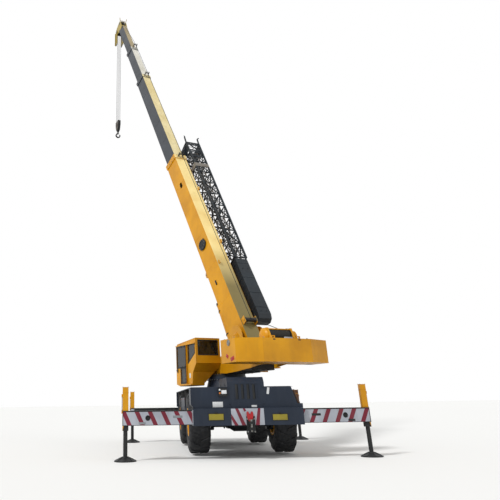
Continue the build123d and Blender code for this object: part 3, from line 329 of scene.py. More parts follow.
def addRod(start, end, radius, steps=12):
    # a round bar, with the edges of both ends broken
    start, end = Vector(start), Vector(end)
    r, length = radius * 1000, (end - start).length * 1000
    lip = min(r * 0.15, 4)
    profile = [(0, 0), (r - lip, 0), (r, lip), (r, length - lip), (r - lip, length), (0, length)]
    addLathe(profile, start, end - start, steps)


def addRing(centre, direction, majorRadius, minorRadius, steps=32, sides=8, arc=(0.0, 360.0)):
    place = Matrix.Translation(centre) @ turnTo(direction)
    closed = arc[1] - arc[0] > 359.9
    rings = []
    for i in range(steps if closed else steps + 1):
        a = math.radians(arc[0] + (arc[1] - arc[0]) * i / steps)
        tube = [(majorRadius + minorRadius * math.cos(b), minorRadius * math.sin(b)) for b in turns(sides)]
        rings.append([place @ Vector((r * math.cos(a), r * math.sin(a), h)) for r, h in tube])
    addLoft(rings, closed)


def addBolts(places, direction, across=0.03):
    # hexagon heads on washers, by the width across the flats
    washer, corner, shoulder, height = (across * 1000 * share for share in (0.75, 0.577, 0.55, 0.65))
    head = [(0, 0), (corner, 0), (corner, shoulder), (corner * 0.85, height), (0, height)]
    for place in places:
        addLathe(plug(washer, -4, 4), place, direction, 16)
        addLathe(head, place, direction, 6)


def addPath(points, radius, sides=8):
    points = [Vector(p) for p in points]
    rings, side = [], None
    for i, point in enumerate(points):
        ahead = (points[min(i + 1, len(points) - 1)] - points[max(i - 1, 0)]).normalized()
        side = side or ahead.orthogonal().normalized()
        side = (side - ahead * side.dot(ahead)).normalized()
        other = ahead.cross(side)
        rings.append([point + side * radius * math.cos(a) + other * radius * math.sin(a) for a in turns(sides)])
    addLoft(rings)


def smoothPath(points, each=8):
    # points on one rounded curve through the given ones
    points = [Vector(p) for p in points]
    padded = [2 * points[0] - points[1]] + points + [2 * points[-1] - points[-2]]
    result = []
    for a, b, c, d in zip(padded, padded[1:], padded[2:], padded[3:]):
        for t in [i / each for i in range(each)]:
            square, cube = 2 * a - 5 * b + 4 * c - d, 3 * b - a - 3 * c + d
            result.append(0.5 * (2 * b + (c - a) * t + square * t * t + cube * t ** 3))
    return result + points[-1:]


def finishPiece(name, material, body="carrier", rounding=0.0, smooth=30, place=None):
    # makes a piece of all that was drawn since the last one, and lets it ride its body
    bmesh.ops.recalc_face_normals(bm, faces=bm.faces)
    mesh = bpy.data.meshes.new(name)
    bm.to_mesh(mesh)
    bm.clear()
    mesh.transform(place or placeOf.get(body, world))
    mesh.materials.append(material)
    piece = bpy.data.objects.new(name, mesh)
    scene.collection.objects.link(piece)
    for polygon in mesh.polygons:
        polygon.use_smooth = True
    mesh.set_sharp_from_angle(angle=math.radians(smooth))
    if rounding:
        bevel = piece.modifiers.new("edgeRounding", "BEVEL")
        bevel.width, bevel.segments = rounding, 2
        bevel.limit_method, bevel.angle_limit = "ANGLE", math.radians(40)
    if body:
        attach(piece, body)
    return piece


def dress(nodeName, *materials, choose=None):
    # gives a solid its finishes; choose picks one by the face's normal and centre
    mesh = nodes[nodeName].data
    mesh.materials.clear()
    for material in materials:
        mesh.materials.append(material)
    for polygon in mesh.polygons:
        polygon.material_index = choose(polygon) if choose else 0


boomInverse, upperInverse = boom.inverted(), upper.inverted()


# the top face gets the second finish, a lighter one that paints the sunlight falling on it
def sunlitTopFace(polygon):
    return 1 if (boomInverse.to_3x3() @ polygon.normal).z > 0.8 else 0


def headFace(polygon):
    return 2 if (boomInverse @ polygon.center).y > headPivot.y - 0.85 else sunlitTopFace(polygon)


# black on faces below 2.2 m and right of the turret plates is painted shade, where the turret's underside and right
# side fall in shadow
def turretShadeFace(polygon):
    return 1 if polygon.center.z < 2.2 or (upperInverse @ polygon.center).x > 0.55 else 0


finishes = {
    charcoalEnamel: ("carrier_frame", "engine_hood", "rear_decks", "front_decks", "side_tanks"),
    blackEnamel: ("turret_base", "rear_lamps", "driveline", "rear_fittings", "axle_front", "axle_rear", "hook_block"),
    yellowEnamel: ("side_cabinet", "counterweight", "hoist_frame", "cab_shell", "cab_door", "lift_barrel"),
    jibEnamel: ("jib_lattice", "jib_head"), cabGlass: ("cab_glass", "door_glass"), ropeSteel: ("falls", "hoist_drum"),
    engineIron: ("engine_block",), rustyPipe: ("exhaust",), seatVinyl: ("cab_seat",), dashPlastic: ("cab_console",),
    castSteel: ("head_sheaves",), rodChrome: ("lift_rod",),
}
for material, nodeNames in finishes.items():
    for nodeName in nodeNames:
        dress(nodeName, material)
dress("boom_base", yellowEnamel, paintedSunlitYellowTop, choose=sunlitTopFace)
dress("boom_second", slateEnamel, creamTopWithPaintedSun, choose=sunlitTopFace)
dress("boom_third", slateEnamel, paleTopWithPaintedSun, choose=sunlitTopFace)
dress("boom_fourth", slateEnamel, brownTopWithPaintedSun, paleHorn, choose=headFace)
dress("turret_plates", yellowEnamel, blackEnamel, choose=turretShadeFace)
wheelCorners = [(row, hand, side) for row in ("front", "rear") for hand, side in (("left", -1), ("right", 1))]
for row, hand, side in wheelCorners:
    inwardY = 1 if row == "front" else -1

    def beamFace(polygon):
        # white on the face that shows its stripes, black round it, and the jack's housing in its own paint
        outer = abs(polygon.center.x) > 3.1
        edge = abs(polygon.normal.z) > 0.8 or polygon.normal.y * inwardY < -0.8
        return 2 if outer and polygon.center.z > 1.0 else 1 if outer or edge else 0

    # the front right post alone is drawn in dark brown, the other posts in yellow
    post = brownEnamel if (row, hand) == ("front", "right") else yellowEnamel
    dress(f"outrigger_beam_{row}_{hand}", whiteEnamel, blackEnamel, post, choose=beamFace)
    parts = {"knuckle": blackEnamel, "jack_leg": blackEnamel, "tyre": tyreRubber, "rim": yellowEnamel}
    for part, material in parts.items():
        dress(f"{part}_{row}_{hand}", material)
print("solids dressed")

# wheels: lugged tyres and what is bolted to the hubs
wheel = {
    "radius": 0.79, "half": 0.3, "lugs": 16, "sweep": 24.0, "lugTop": 0.044, "lugFoot": 0.072, "lugDepth": 0.06,
    "nuts": 12, "nutCircle": 0.258, "hub": 0.2, "hubBolts": 10, "disc": 0.11, "edge": 0.272,
}
# half the tyre's section from the bead to the crown: radius and width in millimetres
tyreOutline = [
    (338.5, -240), (372, -262), (405, -268), (470, -288), (560, -298.5), (625, -296),
    (672, -282), (712, -262), (742, -232), (757, -190), (762, -110), (763, 0),
]
# distance from the crown's middle and radius of a tread bar's top
lugLine = [
    (0.008, 0.79), (0.06, 0.79), (0.13, 0.79), (0.2, 0.789),
    (0.232, 0.78), (0.262, 0.745), (0.286, 0.7), (0.293, 0.668),
]


def addLug(centre, start, side):
    # one tread bar, out over the shoulder, chamfered along both edges
    rings = []
    for reach, top in lugLine:
        half = (wheel["lugTop"] + (wheel["lugFoot"] - wheel["lugTop"]) * reach / wheel["half"]) / 2 + 0.006
        turn = start + math.tan(math.radians(wheel["sweep"])) * (reach - 0.15) / wheel["radius"]
        section = [(-half - 0.009, top - wheel["lugDepth"]), (-half, top - 0.008), (-half + 0.009, top)]
        section += [(-across, radius) for across, radius in section[::-1]]
        spread = [(turn + across / wheel["radius"], radius) for across, radius in section]
        rings.append([centre + Vector((side * reach, r * math.sin(a), r * math.cos(a))) for a, r in spread])
    addLoft(rings)


def makeWheel(row, hand, side):
    low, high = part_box(f"tyre_{row}_{hand}")
    centre = (low + high) / 2
    out, axis = Vector((side, 0, 0)), (1, 0, 0)
    tag, body = f"{row}_{hand}", f"wheel_{row}_{hand}"
    outline = tyreOutline + [(radius, -width) for radius, width in tyreOutline[-2::-1]]
    addLathe(outline + tyreOutline[:1], centre, axis, 96)
    for hub in (-1, 1):
        # ribs moulded on the side wall, and the tread
        for radius, width in ((0.445, 0.284), (0.6, 0.297)):
            addRing(centre + Vector((hub * width, 0, 0)), axis, radius, 0.0035, 96, 6)
        for i in range(wheel["lugs"]):
            addLug(centre, -2 * math.pi * (i + 0.25 * (1 + hub)) / wheel["lugs"], hub)
    tyre = finishPiece("tyreRubber_" + tag, tyreRubber, body, smooth=35)
    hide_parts(f"tyre_{row}_{hand}")
    face = centre + out * wheel["hub"]
    addLathe([(128, -4), (128, 10), (118, 22), (70, 30), (66, 48), (0, 52)], face, out, 40)
    addBolts(circle(face + out * 0.018, "x", 0.098, wheel["hubBolts"], wheel["hubBolts"] / 4), out, 0.016)
    finishPiece("hubCover_" + tag, yellowEnamel, body, smooth=35)
    disc = centre + out * wheel["disc"]
    addBolts(circle(disc, "x", wheel["nutCircle"], wheel["nuts"]), out, 0.036)
    addRod(disc + Vector((0, 0.285, 0)), disc + Vector((side * 0.055, 0.3, 0)), 0.008)   # tyre valve
    finishPiece("wheelNuts_" + tag, zincSteel, body)
    for edge in (-wheel["edge"], wheel["edge"]):
        addRing(centre + Vector((edge, 0, 0)), axis, 0.352, 0.009, 64)
    finishPiece("rimLock_" + tag, yellowEnamel, body)


for corner in wheelCorners:
    makeWheel(*corner)
print("wheels made")

# axles: steering cylinders, tie rods, brake plates and the shafts' joints
axle = {"height": 0.83, "cover": 0.235, "spring": 0.33, "ram": 0.034, "ramHeight": 0.9, "shaft": 0.79}
for row, away in (("front", -1), ("rear", 1)):
    low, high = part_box(f"axle_{row}")
    axleY = (low.y + high.y) / 2
    # differential cover, its ring of bolts, and the bolted ends of the axle tubes
    cover = Vector((0, axleY + away * axle["cover"], axle["height"]))
    addLathe([(185, 0), (185, 20), (160, 34), (60, 46), (0, 48)], cover, (0, away, 0), 40)
    addBolts(circle(cover + Vector((0, away * 0.02, 0)), "y", 0.172, 12), (0, away, 0), 0.02)
    for side in (-1, 1):
        addLathe([(150, 0), (175, 4), (175, 30), (150, 34)], (side * 0.42, axleY, axle["height"]), (side, 0, 0))
        for y in (axleY - 0.105, axleY + 0.105):
            # U bolts of the spring seat
            bend = [(-0.055, 1.06), (-0.055, 0.72), (0, 0.665), (0.055, 0.72), (0.055, 1.06)]
            addPath(smoothPath([(side * axle["spring"] + x, y, z) for x, z in bend], 4), 0.011)
    finishPiece(f"axleFittings_{row}", blackEnamel)
    y = axleY - away * 0.25
    for side in (-1, 1):
        addRod((side * 0.2, y, axle["ramHeight"]), (side * 0.56, y, axle["ramHeight"]), axle["ram"], 20)
        addBolts([(side * 0.2, y, axle["ramHeight"])], (-side, 0, 0))
    finishPiece(f"steeringRam_{row}", castSteel)
    for hand, side in (("left", -1), ("right", 1)):
        arm = [(0.945, 0, 0.86), (0.945, 0.12, 0.87), (0.9, 0.22, 0.885)]
        addPath([(side * x, axleY - away * y, z) for x, y, z in arm], 0.021, 10)
        plate = [(90, 0), (215, 2), (235, 12), (235, 30), (215, 34), (90, 34)]
        addLathe(plate, (side * 1.022, axleY, axle["height"]), (side, 0, 0), 40)
        finishPiece(f"steeringArm_{row}_{hand}", castSteel, f"knuckle_{row}_{hand}")
for y, sign in ((-0.43, -1), (0.43, 1), (-1.7, 1), (1.6, -1)):
    # universal joints at both ends of each shaft
    joint = [(50, 0), (95, 0), (95, 22), (62, 30), (62, 75), (50, 80)]
    addLathe(joint, (0, y, axle["shaft"]), (0, sign, 0), 24)
    y += sign * 0.055
    addRod((-0.085, y, axle["shaft"]), (0.085, y, axle["shaft"]), 0.019)
addBlock((-0.16, -0.36, 0.664), (0.16, 0.36, 0.691), 0.01)
addBolts([(x, y, 0.664) for x in (-0.13, 0.13) for y in (-0.3, -0.1, 0.1, 0.3)], (0, 0, -1), 0.02)
finishPiece("driveJoints", castSteel)
print("axles dressed")

# outriggers: striped faces, jack housings, pressure pipes and floats
stripe = {"pitch": 0.337, "width": 0.115, "lean": 0.148, "left": -3.278, "right": 1.445, "count": 6, "proud": 0.0022}
jack = {
    "half": 0.075, "top": 1.73, "bottom": 0.815, "beamTop": 1.165, "reach": 3.255, "inner": 1.455, "leg": 3.18,
    "edgeTop": 0.028, "edgeFoot": 0.012, "eye": (2.6, 0.99), "pipes": 0.016,
}


def clipSlab(outline, xLow, xHigh, yLow, yHigh):
    # a leaning strip in (x, z), cut off square at both ends of the face it is stuck to
    for limit, keep in ((xLow, 1), (xHigh, -1)):
        result = []
        for (ax, az), (bx, bz) in zip(outline, outline[1:] + outline[:1]):
            inA, inB = keep * (ax - limit) >= 0, keep * (bx - limit) >= 0
            if inA:
                result.append((ax, az))
            if inA != inB:
                result.append((limit, az + (limit - ax) / (bx - ax) * (bz - az)))
        outline = result
        if len(outline) < 3:
            return
    addSlab(outline, yLow, yHigh, "y")


def makeOutrigger(row, hand, side):
    low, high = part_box(f"outrigger_beam_{row}_{hand}")
    middleY = (low.y + high.y) / 2
    tag, body = f"{row}_{hand}", f"outrigger_{row}_{hand}"
    bottom, top = jack["bottom"], jack["beamTop"]
    inner, edge, reach = side * jack["inner"], side * (jack["reach"] - 0.018), side * jack["reach"]
    faces = [(low.y, -1), (high.y, 1)]
    outY, out = faces[0] if row == "rear" else faces[1]
    for y, way in faces:
        # cheek plates that carry the striped face across the jack's housing
        addBlock((side * 3.104, y, bottom), (reach, middleY + way * (jack["half"] + 0.0005), top), 0.003)
    finishPiece("jackCheeks_" + tag, whiteEnamel, body)
    skin = sorted((outY - out * 0.001, outY + out * stripe["proud"]))
    for i in range(stripe["count"]):
        x, lean = stripe[hand] + i * stripe["pitch"], -side * stripe["lean"]
        upperZ, lowerZ = top - jack["edgeTop"], bottom + jack["edgeFoot"]
        far = x + stripe["width"]
        shape = [(x, upperZ), (far, upperZ), (far + lean, lowerZ), (x + lean, lowerZ)]
        clipSlab(shape, min(inner, edge), max(inner, edge), *skin)
    finishPiece("maroonStripes_" + tag, maroonTape, body)
    eyeX, eyeZ = side * jack["eye"][0], jack["eye"][1]
    for y, way in faces:
        near, far = y - way * 0.001, y + way * 0.003
        addBlock((inner, near, top - jack["edgeTop"]), (reach, far, top), 0.001)
        addBlock((inner, near, bottom), (reach, far, bottom + jack["edgeFoot"]), 0.001)
        addBlock((edge, near, bottom + jack["edgeFoot"]), (reach, far, top - 0.018), 0.001)
        addRing((eyeX, y + way * 0.002, eyeZ), (0, 1, 0), 0.06, 0.005, 32, 6)   # rim of the lashing hole
    finishPiece("beamEdges_" + tag, blackEnamel, body)
    near, far = outY - out * 0.001, outY + out * 0.0035
    addBlock((side * 1.71, near, 0.985), (side * 1.95, far, 1.04), 0.001)
    addBlock((side * 2.66, near, 0.842), (side * 2.84, far, 0.895), 0.001)
    finishPiece("blankGreyPlates_" + tag, plateGrey if hand == "left" else blackEnamel, body)
    # a black plug filling the lashing hole: painted shade of the hole's inside
    addLathe(plug(70, -90, 90), (eyeX, middleY, eyeZ), (0, 1, 0), 28)
    finishPiece("lashingHoleShadePlug_" + tag, blackEnamel, body)

    # open rim and bands of the jack's housing, because the leg rises through it, and its port blocks
    x = side * jack["leg"]
    outX = x + side * jack["half"]
    bands = ((0.0615, 0.08, jack["top"] - 0.001, 0.009), (0.07, 0.079, 1.18, 0.016), (0.07, 0.079, 1.6, 0.016))
    for hole, half, z, tall in bands:
        for end in (-1, 1):
            addBlock((x + end * hole, middleY - half, z), (x + end * half, middleY + half, z + tall), 0.002)
            addBlock((x - hole, middleY + end * hole, z), (x + hole, middleY + end * half, z + tall), 0.002)
    for z in (1.1, 1.5):
        addBlock((outX - side * 0.001, middleY - 0.034, z), (outX + side * 0.03, middleY + 0.034, z + 0.07), 0.004)
    finishPiece("jackCap_" + tag, yellowEnamel, body)
    bolts = [(x + a, middleY + b, jack["top"] + 0.008) for a in (-0.07, 0.07) for b in (-0.07, 0.07)]
    addBolts(bolts, (0, 0, 1), 0.014)
    pipeX, pipes = outX + side * 0.016, (middleY - jack["pipes"], middleY + jack["pipes"])
    for y in pipes:
        for z, up in ((1.17, 1), (1.5, -1)):
            addLathe(plug(12.5, -4, 14), (pipeX, y, z), (0, 0, up), 6)
    finishPiece("jackBolts_" + tag, zincSteel, body)
    for y in pipes:
        addRod((pipeX, y, 1.172), (pipeX, y, 1.498), 0.0075)
    finishPiece("jackPipes_" + tag, zincSteel, body)

    # float: ribs round the cup, and the rim
    foot = Vector((x, middleY, 0))
    rib = [(0.085, 0.108), (0.085, 0.06), (0.262, 0.018), (0.262, 0.034), (0.115, 0.098)]
    for spoke in circle((0, 0, 0), "z", 1, 8):
        across = Vector((-spoke.y, spoke.x, 0)) * 0.006
        addLoft([[foot + spoke * r + Vector((0, 0, z)) + shift for r, z in rib] for shift in (-across, across)])
    addRing(foot + Vector((0, 0, 0.021)), (0, 0, 1), 0.276, 0.004, 48, 6)
    finishPiece("floatRibs_" + tag, blackEnamel, f"jack_{row}_{hand}")


for corner in wheelCorners[2:] + wheelCorners[:2]:
    makeOutrigger(*corner)
print("outriggers made")

# carrier: rear plates and striped panel
carrier = {"boxRear": -3.678, "rear": -3.52, "front": 4.078, "deck": 1.7095, "mat": 0.004, "lampZ": 1.54}
panel = {"left": -0.45, "right": 0.4, "low": 0.792, "high": 1.183, "proud": 0.007}
wallY = carrier["boxRear"]
panelY = wallY - panel["proud"]
addBlock((panel["left"], panelY, panel["low"]), (panel["right"], wallY + 0.002, panel["high"]), 0.002)
finishPiece("stripedPanel", whiteEnamel)
panelStripes = [
    [(0.0, 0.68), (0.0, 0.36), (0.09, 0.0), (0.2, 0.0)], [(0.13, 1.0), (0.22, 1.0), (0.43, 0.0), (0.31, 0.0)],
    [(0.36, 1.0), (0.43, 1.0), (0.46, 0.86), (0.4, 0.8)], [(0.82, 1.0), (0.9, 1.0), (0.84, 0.0), (0.72, 0.0)],
]
width, height = panel["right"] - panel["left"], panel["high"] - panel["low"]
for shares in panelStripes:
    shape = [(panel["left"] + a * width, panel["low"] + b * height) for a, b in shares]
    addSlab(shape, panelY - 0.0018, panelY + 0.001, "y")
finishPiece("panelStripes", maroonTape)

blankPlates = ((-1.03, -0.65, 0.92, 1.065), (0.62, 1.0, 0.9, 1.04))
for left, right, low, high in blankPlates:
    addBlock((left, wallY - 0.005, low), (right, wallY + 0.002, high), 0.002)
finishPiece("rearPlateFaces", plateYellow)
rim = 0.012
for left, right, low, high in blankPlates:
    sides = (
        (left - rim, low - rim, right + rim, low), (left - rim, high, right + rim, high + rim),
        (left - rim, low, left, high), (right, low, right + rim, high),
    )
    for x0, z0, x1, z1 in sides:
        addBlock((x0, wallY - 0.01, z0), (x1, wallY + 0.002, z1), 0.002)
    x = (left + right) / 2
    addBlock((x - 0.035, wallY - 0.028, high + 0.014), (x + 0.035, wallY + 0.002, high + 0.04), 0.005)
finishPiece("rearPlateFrames", blackEnamel)

# red forked hitch over the towing jaw: two horns joined below
hitch = {"centre": 0.023, "low": 0.87, "near": -0.034, "far": -0.062, "pinX": 0.04, "pinY": -0.1003}
horn = [
    (0, 0), (0.03, 0.008), (0.068, 0.07), (0.088, 0.15), (0.084, 0.215),
    (0.058, 0.248), (0.03, 0.232), (0.018, 0.18), (0, 0.165),
]
outline = [(hitch["centre"] + a, hitch["low"] + b) for a, b in horn + [(-a, b) for a, b in horn[-2:0:-1]]]
addSlab(outline, wallY + hitch["far"], wallY + hitch["near"], "y")
back = wallY + hitch["near"] - 0.001
addBlock((hitch["centre"] - 0.05, back, 1.005), (hitch["centre"] + 0.05, wallY - 0.005, 1.06), 0.003)
finishPiece("redHitch", redEnamel, rounding=0.005)
x, y = hitch["pinX"], wallY + hitch["pinY"]
addRod((x, y, 0.64), (x, y, 0.925), 0.026, 20)
addRod((x - 0.055, y, 0.915), (x + 0.055, y, 0.915), 0.009)
addBolts([(x, wallY - 0.0303, z) for x in (-0.052, 0.132) for z in (0.64, 0.94)], (0, -1, 0), 0.026)
finishPiece("towPin", zincSteel)

# lamps in their housing, blank plates on the decks
wallY, frontY = carrier["rear"], carrier["front"]
lensY = wallY - 0.044
lens = [(27, 0), (27, 8), (18, 14), (0, 16)]
addBlock((-0.662, wallY - 0.05, 1.538), (-0.518, wallY - 0.038, 1.637), 0.006)
addLathe(lens, (-0.7, lensY, 1.64), (0, -1, 0), 24)
finishPiece("workLampLens", clearLens)
addLathe(lens, (-0.7, lensY, 1.56), (0, -1, 0), 24)
for side in (-1, 1):
    addLathe([(45, 0), (45, 20), (30, 30), (0, 32)], (side * 1.34, frontY, 1.56), (0, 1, 0), 28)
finishPiece("amberLamps", amberLens)
for side in (-1, 1):
    for y in (-0.8, 0.72):
        addBlock((side * 1.469, y - 0.05, 1.42), (side * 1.476, y + 0.05, 1.455), 0.002)
finishPiece("redLamps", redLens)
for side in (-1, 1):
    # splash plates and rubber flaps that close the front decks towards the wheels
    inner, outer = side * 0.44, side * 1.465
    addBlock((inner, 0.883, 1.495), (outer, 0.893, 1.7095), 0.002)
    addBlock((min(inner, outer) + 0.02, 0.88, 1.18), (max(inner, outer) - 0.02, 0.888, 1.51), 0.002)
    for y in (2.905, -0.965):
        addBlock((inner, y, 1.3), (outer, y + 0.008, 1.693), 0.002)
finishPiece("splashPlates", hoseRubber)
near, far = wallY - 0.004, wallY + 0.001
addBlock((-0.9, near, 1.22), (-0.63, far, 1.35), 0.0015)
addBlock((0.12, near, 1.21), (0.26, far, 1.26), 0.0015)
addSlab([(0.54, 1.53), (0.6, 1.52), (0.63, 1.68), (0.57, 1.69)], near, far, "y")
finishPiece("blankWhitePlates", plateWhite)

# hood: a black plate and gauze behind the louvres, painted shade that makes the slots look dark; hinges, latches,
# lifting eyes and a line of bolts
hood = {
    "top": 1.95, "gauze": 0.03, "louvres": (-0.225, -0.075, 0.075, 0.225), "hinges": (-3.05, -2.2),
    "eyes": (-3.3, -1.98), "latches": (1.3, 1.7), "bolts": (-0.42, -0.21, 0.0, 0.3, 0.42), "intakeY": -2.25,
}
addBlock((-0.29, wallY + 0.03, 1.395), (0.29, wallY + 0.036, 1.785))
for i in range(-9, 10):
    addRod((i * hood["gauze"], wallY + 0.028, 1.4), (i * hood["gauze"], wallY + 0.028, 1.78), 0.0022, 6)
louvre = [(-0.052, 0.008), (-0.04, 0.009), (0.002, -0.012), (-0.008, -0.014)]
for x in hood["louvres"]:
    addSlab([(x + a, wallY + b) for a, b in louvre], 1.41, 1.768, "z")
finishPiece("louvreShadeBacking", blackEnamel)
top = hood["top"]
for side in (-1, 1):
    for y in hood["hinges"]:
        addLathe(plug(11, -50, 50), (side * 0.4915, y, 1.77), (0, 1, 0), 12)
        addBlock((side * 0.49, y - 0.045, 1.715), (side * 0.494, y + 0.045, 1.825), 0.001)
    for y in hood["eyes"]:
        addRing((side * 0.3, y, top + 0.002), (0, 1, 0), 0.04, 0.008, 20, 8, (0.0, 180.0))
    for z in hood["latches"]:
        addBlock((side * 0.465, wallY - 0.014, z - 0.022), (side * 0.43, wallY + 0.001, z + 0.022), 0.004)
addBlock((-0.488, wallY - 0.002, 1.34), (0.488, wallY + 0.001, 1.346), 0.0008)
addBolts([(x, wallY, 1.24) for x in hood["bolts"]], (0, -1, 0), 0.018)
finishPiece("hoodFittings", charcoalEnamel)
intake = Vector((0, hood["intakeY"], top))
addLathe([(160, 0), (170, 4), (170, 28), (150, 34), (50, 36), (0, 30)], intake, (0, 0, 1))
for radius in (0.05, 0.09, 0.13):
    addRing(intake + Vector((0, 0, 0.036)), (0, 0, 1), radius, 0.005, 32, 6)
finishPiece("airIntake", blackEnamel)

# chequer-plate mats on the decks
mats = [
    (-1.445, -3.495, -0.52, -0.96), (0.515, -3.495, 1.175, -2.99), (0.515, -2.97, 1.385, -0.96),
    (-1.445, 0.905, 1.445, 4.05), (-1.445, -0.9, -0.8, 0.835), (0.8, -0.9, 1.445, 0.835),
]
for x0, y0, x1, y1 in mats:
    addBlock((x0, y0, carrier["deck"]), (x1, y1, carrier["deck"] + carrier["mat"]), 0.001)
finishPiece("deckMats", chequerPlate)

# bands and straps of the tanks, steps, filler caps, front lamps
for side in (-1, 1):
    for y in (-0.64, 0.0, 0.58):
        addBlock((side * 1.4695, y - 0.03, 1.078), (side * 1.474, y + 0.03, 1.482), 0.001)
    for z in (0.8, 1.0):
        addBlock((side * 1.3, -0.5, z - 0.025), (side * 1.462, 0.0, z), 0.004)
    for y in (-0.515, 0.0):
        addBlock((side * 1.38, y, 0.76), (side * 1.455, y + 0.012, 1.079), 0.002)
finishPiece("stepsAndStraps", blackEnamel)
for side in (-1, 1):
    cap = (side * 1.25, 0.42, carrier["deck"] + carrier["mat"])
    addLathe([(52, 0), (52, 24), (40, 32), (0, 34)], cap, (0, 0, 1), 24)
finishPiece("deckFillerCaps", blackEnamel)
for side in (-1, 1):
    addLathe([(88, 1), (88, 30), (76, 34), (76, 20)], (side * 1.08, frontY, carrier["lampZ"]), (0, 1, 0))
    addBlock((side * 0.46 - 0.05, frontY, 1.25), (side * 0.46 + 0.05, frontY + 0.03, 1.36), 0.004)
addBlock((-0.3, frontY, 1.235), (0.3, frontY + 0.006, 1.345), 0.002)
finishPiece("frontLampRims", blackEnamel)
for side in (-1, 1):
    addLathe([(76, 12), (70, 22), (40, 32), (0, 35)], (side * 1.08, frontY, carrier["lampZ"]), (0, 1, 0))
finishPiece("frontLampLenses", clearLens)
addBolts(circle((0, 0, 1.992), "z", 0.655, 40), (0, 0, 1), 0.024)
finishPiece("carrierBolts", zincSteel)
print("carrier dressed")

# turret: pin caps, ring bolts, swing drive and pressure pipes
turret = {"shelf": 2.192, "cabinetSide": 1.23, "cabinetTop": 2.76, "ringBolts": 36}
for side in (-1, 1):
    cap, out = Vector((side * 0.45, *luffPin)), (side, 0, 0)
    addLathe([(125, -1), (125, 14), (110, 22), (45, 24), (40, 34), (0, 36)], cap, out, 36)
    addBolts(circle(cap + Vector((side * 0.018, 0, 0)), "x", 0.088, 6), out, 0.024)
    addLathe([(62, 0), (62, 12), (50, 18), (0, 19)], (side * 0.142, footPin.y, footPin.z), out, 28)
addBolts(circle((0, 0, 2.16), "z", 0.57, turret["ringBolts"]), (0, 0, 1), 0.026)
finishPiece("turretPinCaps", yellowEnamel, "upper_works")
motor = [
    (95, 0), (100, 6), (100, 50), (80, 56), (80, 210), (87, 214), (87, 240),
    (62, 248), (58, 400), (48, 410), (0, 412),
]
addLathe(motor, (-0.27, 0.7, 2.19), (0, 0, 1), 36)
addBlock((-0.3, 0.625, 2.47), (-0.24, 0.66, 2.54), 0.006)
finishPiece("swingMotor", castSteel, "upper_works")
for i, x in enumerate((0.2, 0.24, 0.28, 0.32)):
    shelf, run = turret["shelf"], turret["shelf"] + 0.043 + i * 0.004
    route = [(0.95, shelf), (0.95, run), (0.4, run), (-0.4, run), (-1.2, run), (-1.2, shelf)]
    addPath(smoothPath([(x, y, z) for y, z in route], 4), 0.011)
for y in (-0.9, -0.1, 0.6):
    addBlock((0.182, y - 0.02, shelf), (0.338, y + 0.02, shelf + 0.07), 0.003)
finishPiece("pressurePipes", zincSteel, "upper_works")

# cabinet: two doors with louvres, hinges and latches, filler and breather
x, top = turret["cabinetSide"], turret["cabinetTop"]
doors = ((-1.19, -0.24), (-0.2, 0.79))
for y0, y1 in doors:
    addBlock((x - 0.001, y0, 2.37), (x + 0.007, y1, 2.725), 0.003)
    for z in [2.44 + i * 0.034 for i in range(6)]:
        addSlab([(x + 0.006, z), (x + 0.015, z + 0.003), (x + 0.007, z + 0.022)], y0 + 0.3, y1 - 0.3, "y")
    addBlock((0.52, y0 + 0.02, top - 0.001), (1.2, y1 - 0.02, top + 0.006), 0.003)
addBlock((0.6, -1.238, 2.39), (1.15, -1.229, 2.7), 0.003)
finishPiece("cabinetDoors", yellowEnamel, "upper_works")
for y0, y1 in doors:
    latch = (y0 + y1) / 2
    addBlock((x + 0.006, latch - 0.03, 2.655), (x + 0.016, latch + 0.03, 2.69), 0.004)
    for y in (y0 + 0.12, y1 - 0.12):
        addLathe(plug(9, -40, 40), (x + 0.008, y, 2.374), (0, 1, 0), 10)
addLathe([(60, 0), (60, 30), (50, 36), (0, 38)], (0.72, 0.55, top + 0.0005), (0, 0, 1), 28)
addLathe([(40, 0), (40, 50), (55, 52), (55, 85), (40, 92), (0, 93)], (0.72, 0.25, top + 0.0005), (0, 0, 1), 28)
finishPiece("cabinetFittings", blackEnamel, "upper_works")

# lift cylinder: gland, bands, port blocks and pipes
gland = [(85.3, 0), (120, 0), (142, 6), (142, 90), (120, 100), (100, 118), (85.3, 120)]
addLathe(gland, (0, 2.2995, 0), (0, 1, 0), 44)
for y in (0.15, 1.15, 2.05):
    addLathe([(134, 0), (148, 4), (148, 34), (134, 38)], (0, y, 0), (0, 1, 0), 44)
addBlock((-0.045, 0.3, 0.13), (0.045, 0.46, 0.205), 0.006)
addBlock((-0.035, 2.1, 0.13), (0.035, 2.2, 0.185), 0.006)
finishPiece("liftBarrelFittings", blackEnamel, "lift_barrel")
for x in (-0.022, 0.022):
    addRod((x, 0.458, 0.165), (x, 2.102, 0.162), 0.0095)
for y in (0.85, 1.6):
    addBlock((-0.042, y - 0.014, 0.128), (0.042, y + 0.014, 0.18), 0.003)
addBolts(circle((0, 2.4, 0), "y", 0.126, 12, 0.5), (0, 1, 0), 0.014)
finishPiece("liftPipes", zincSteel, "lift_barrel")
print("turret dressed")

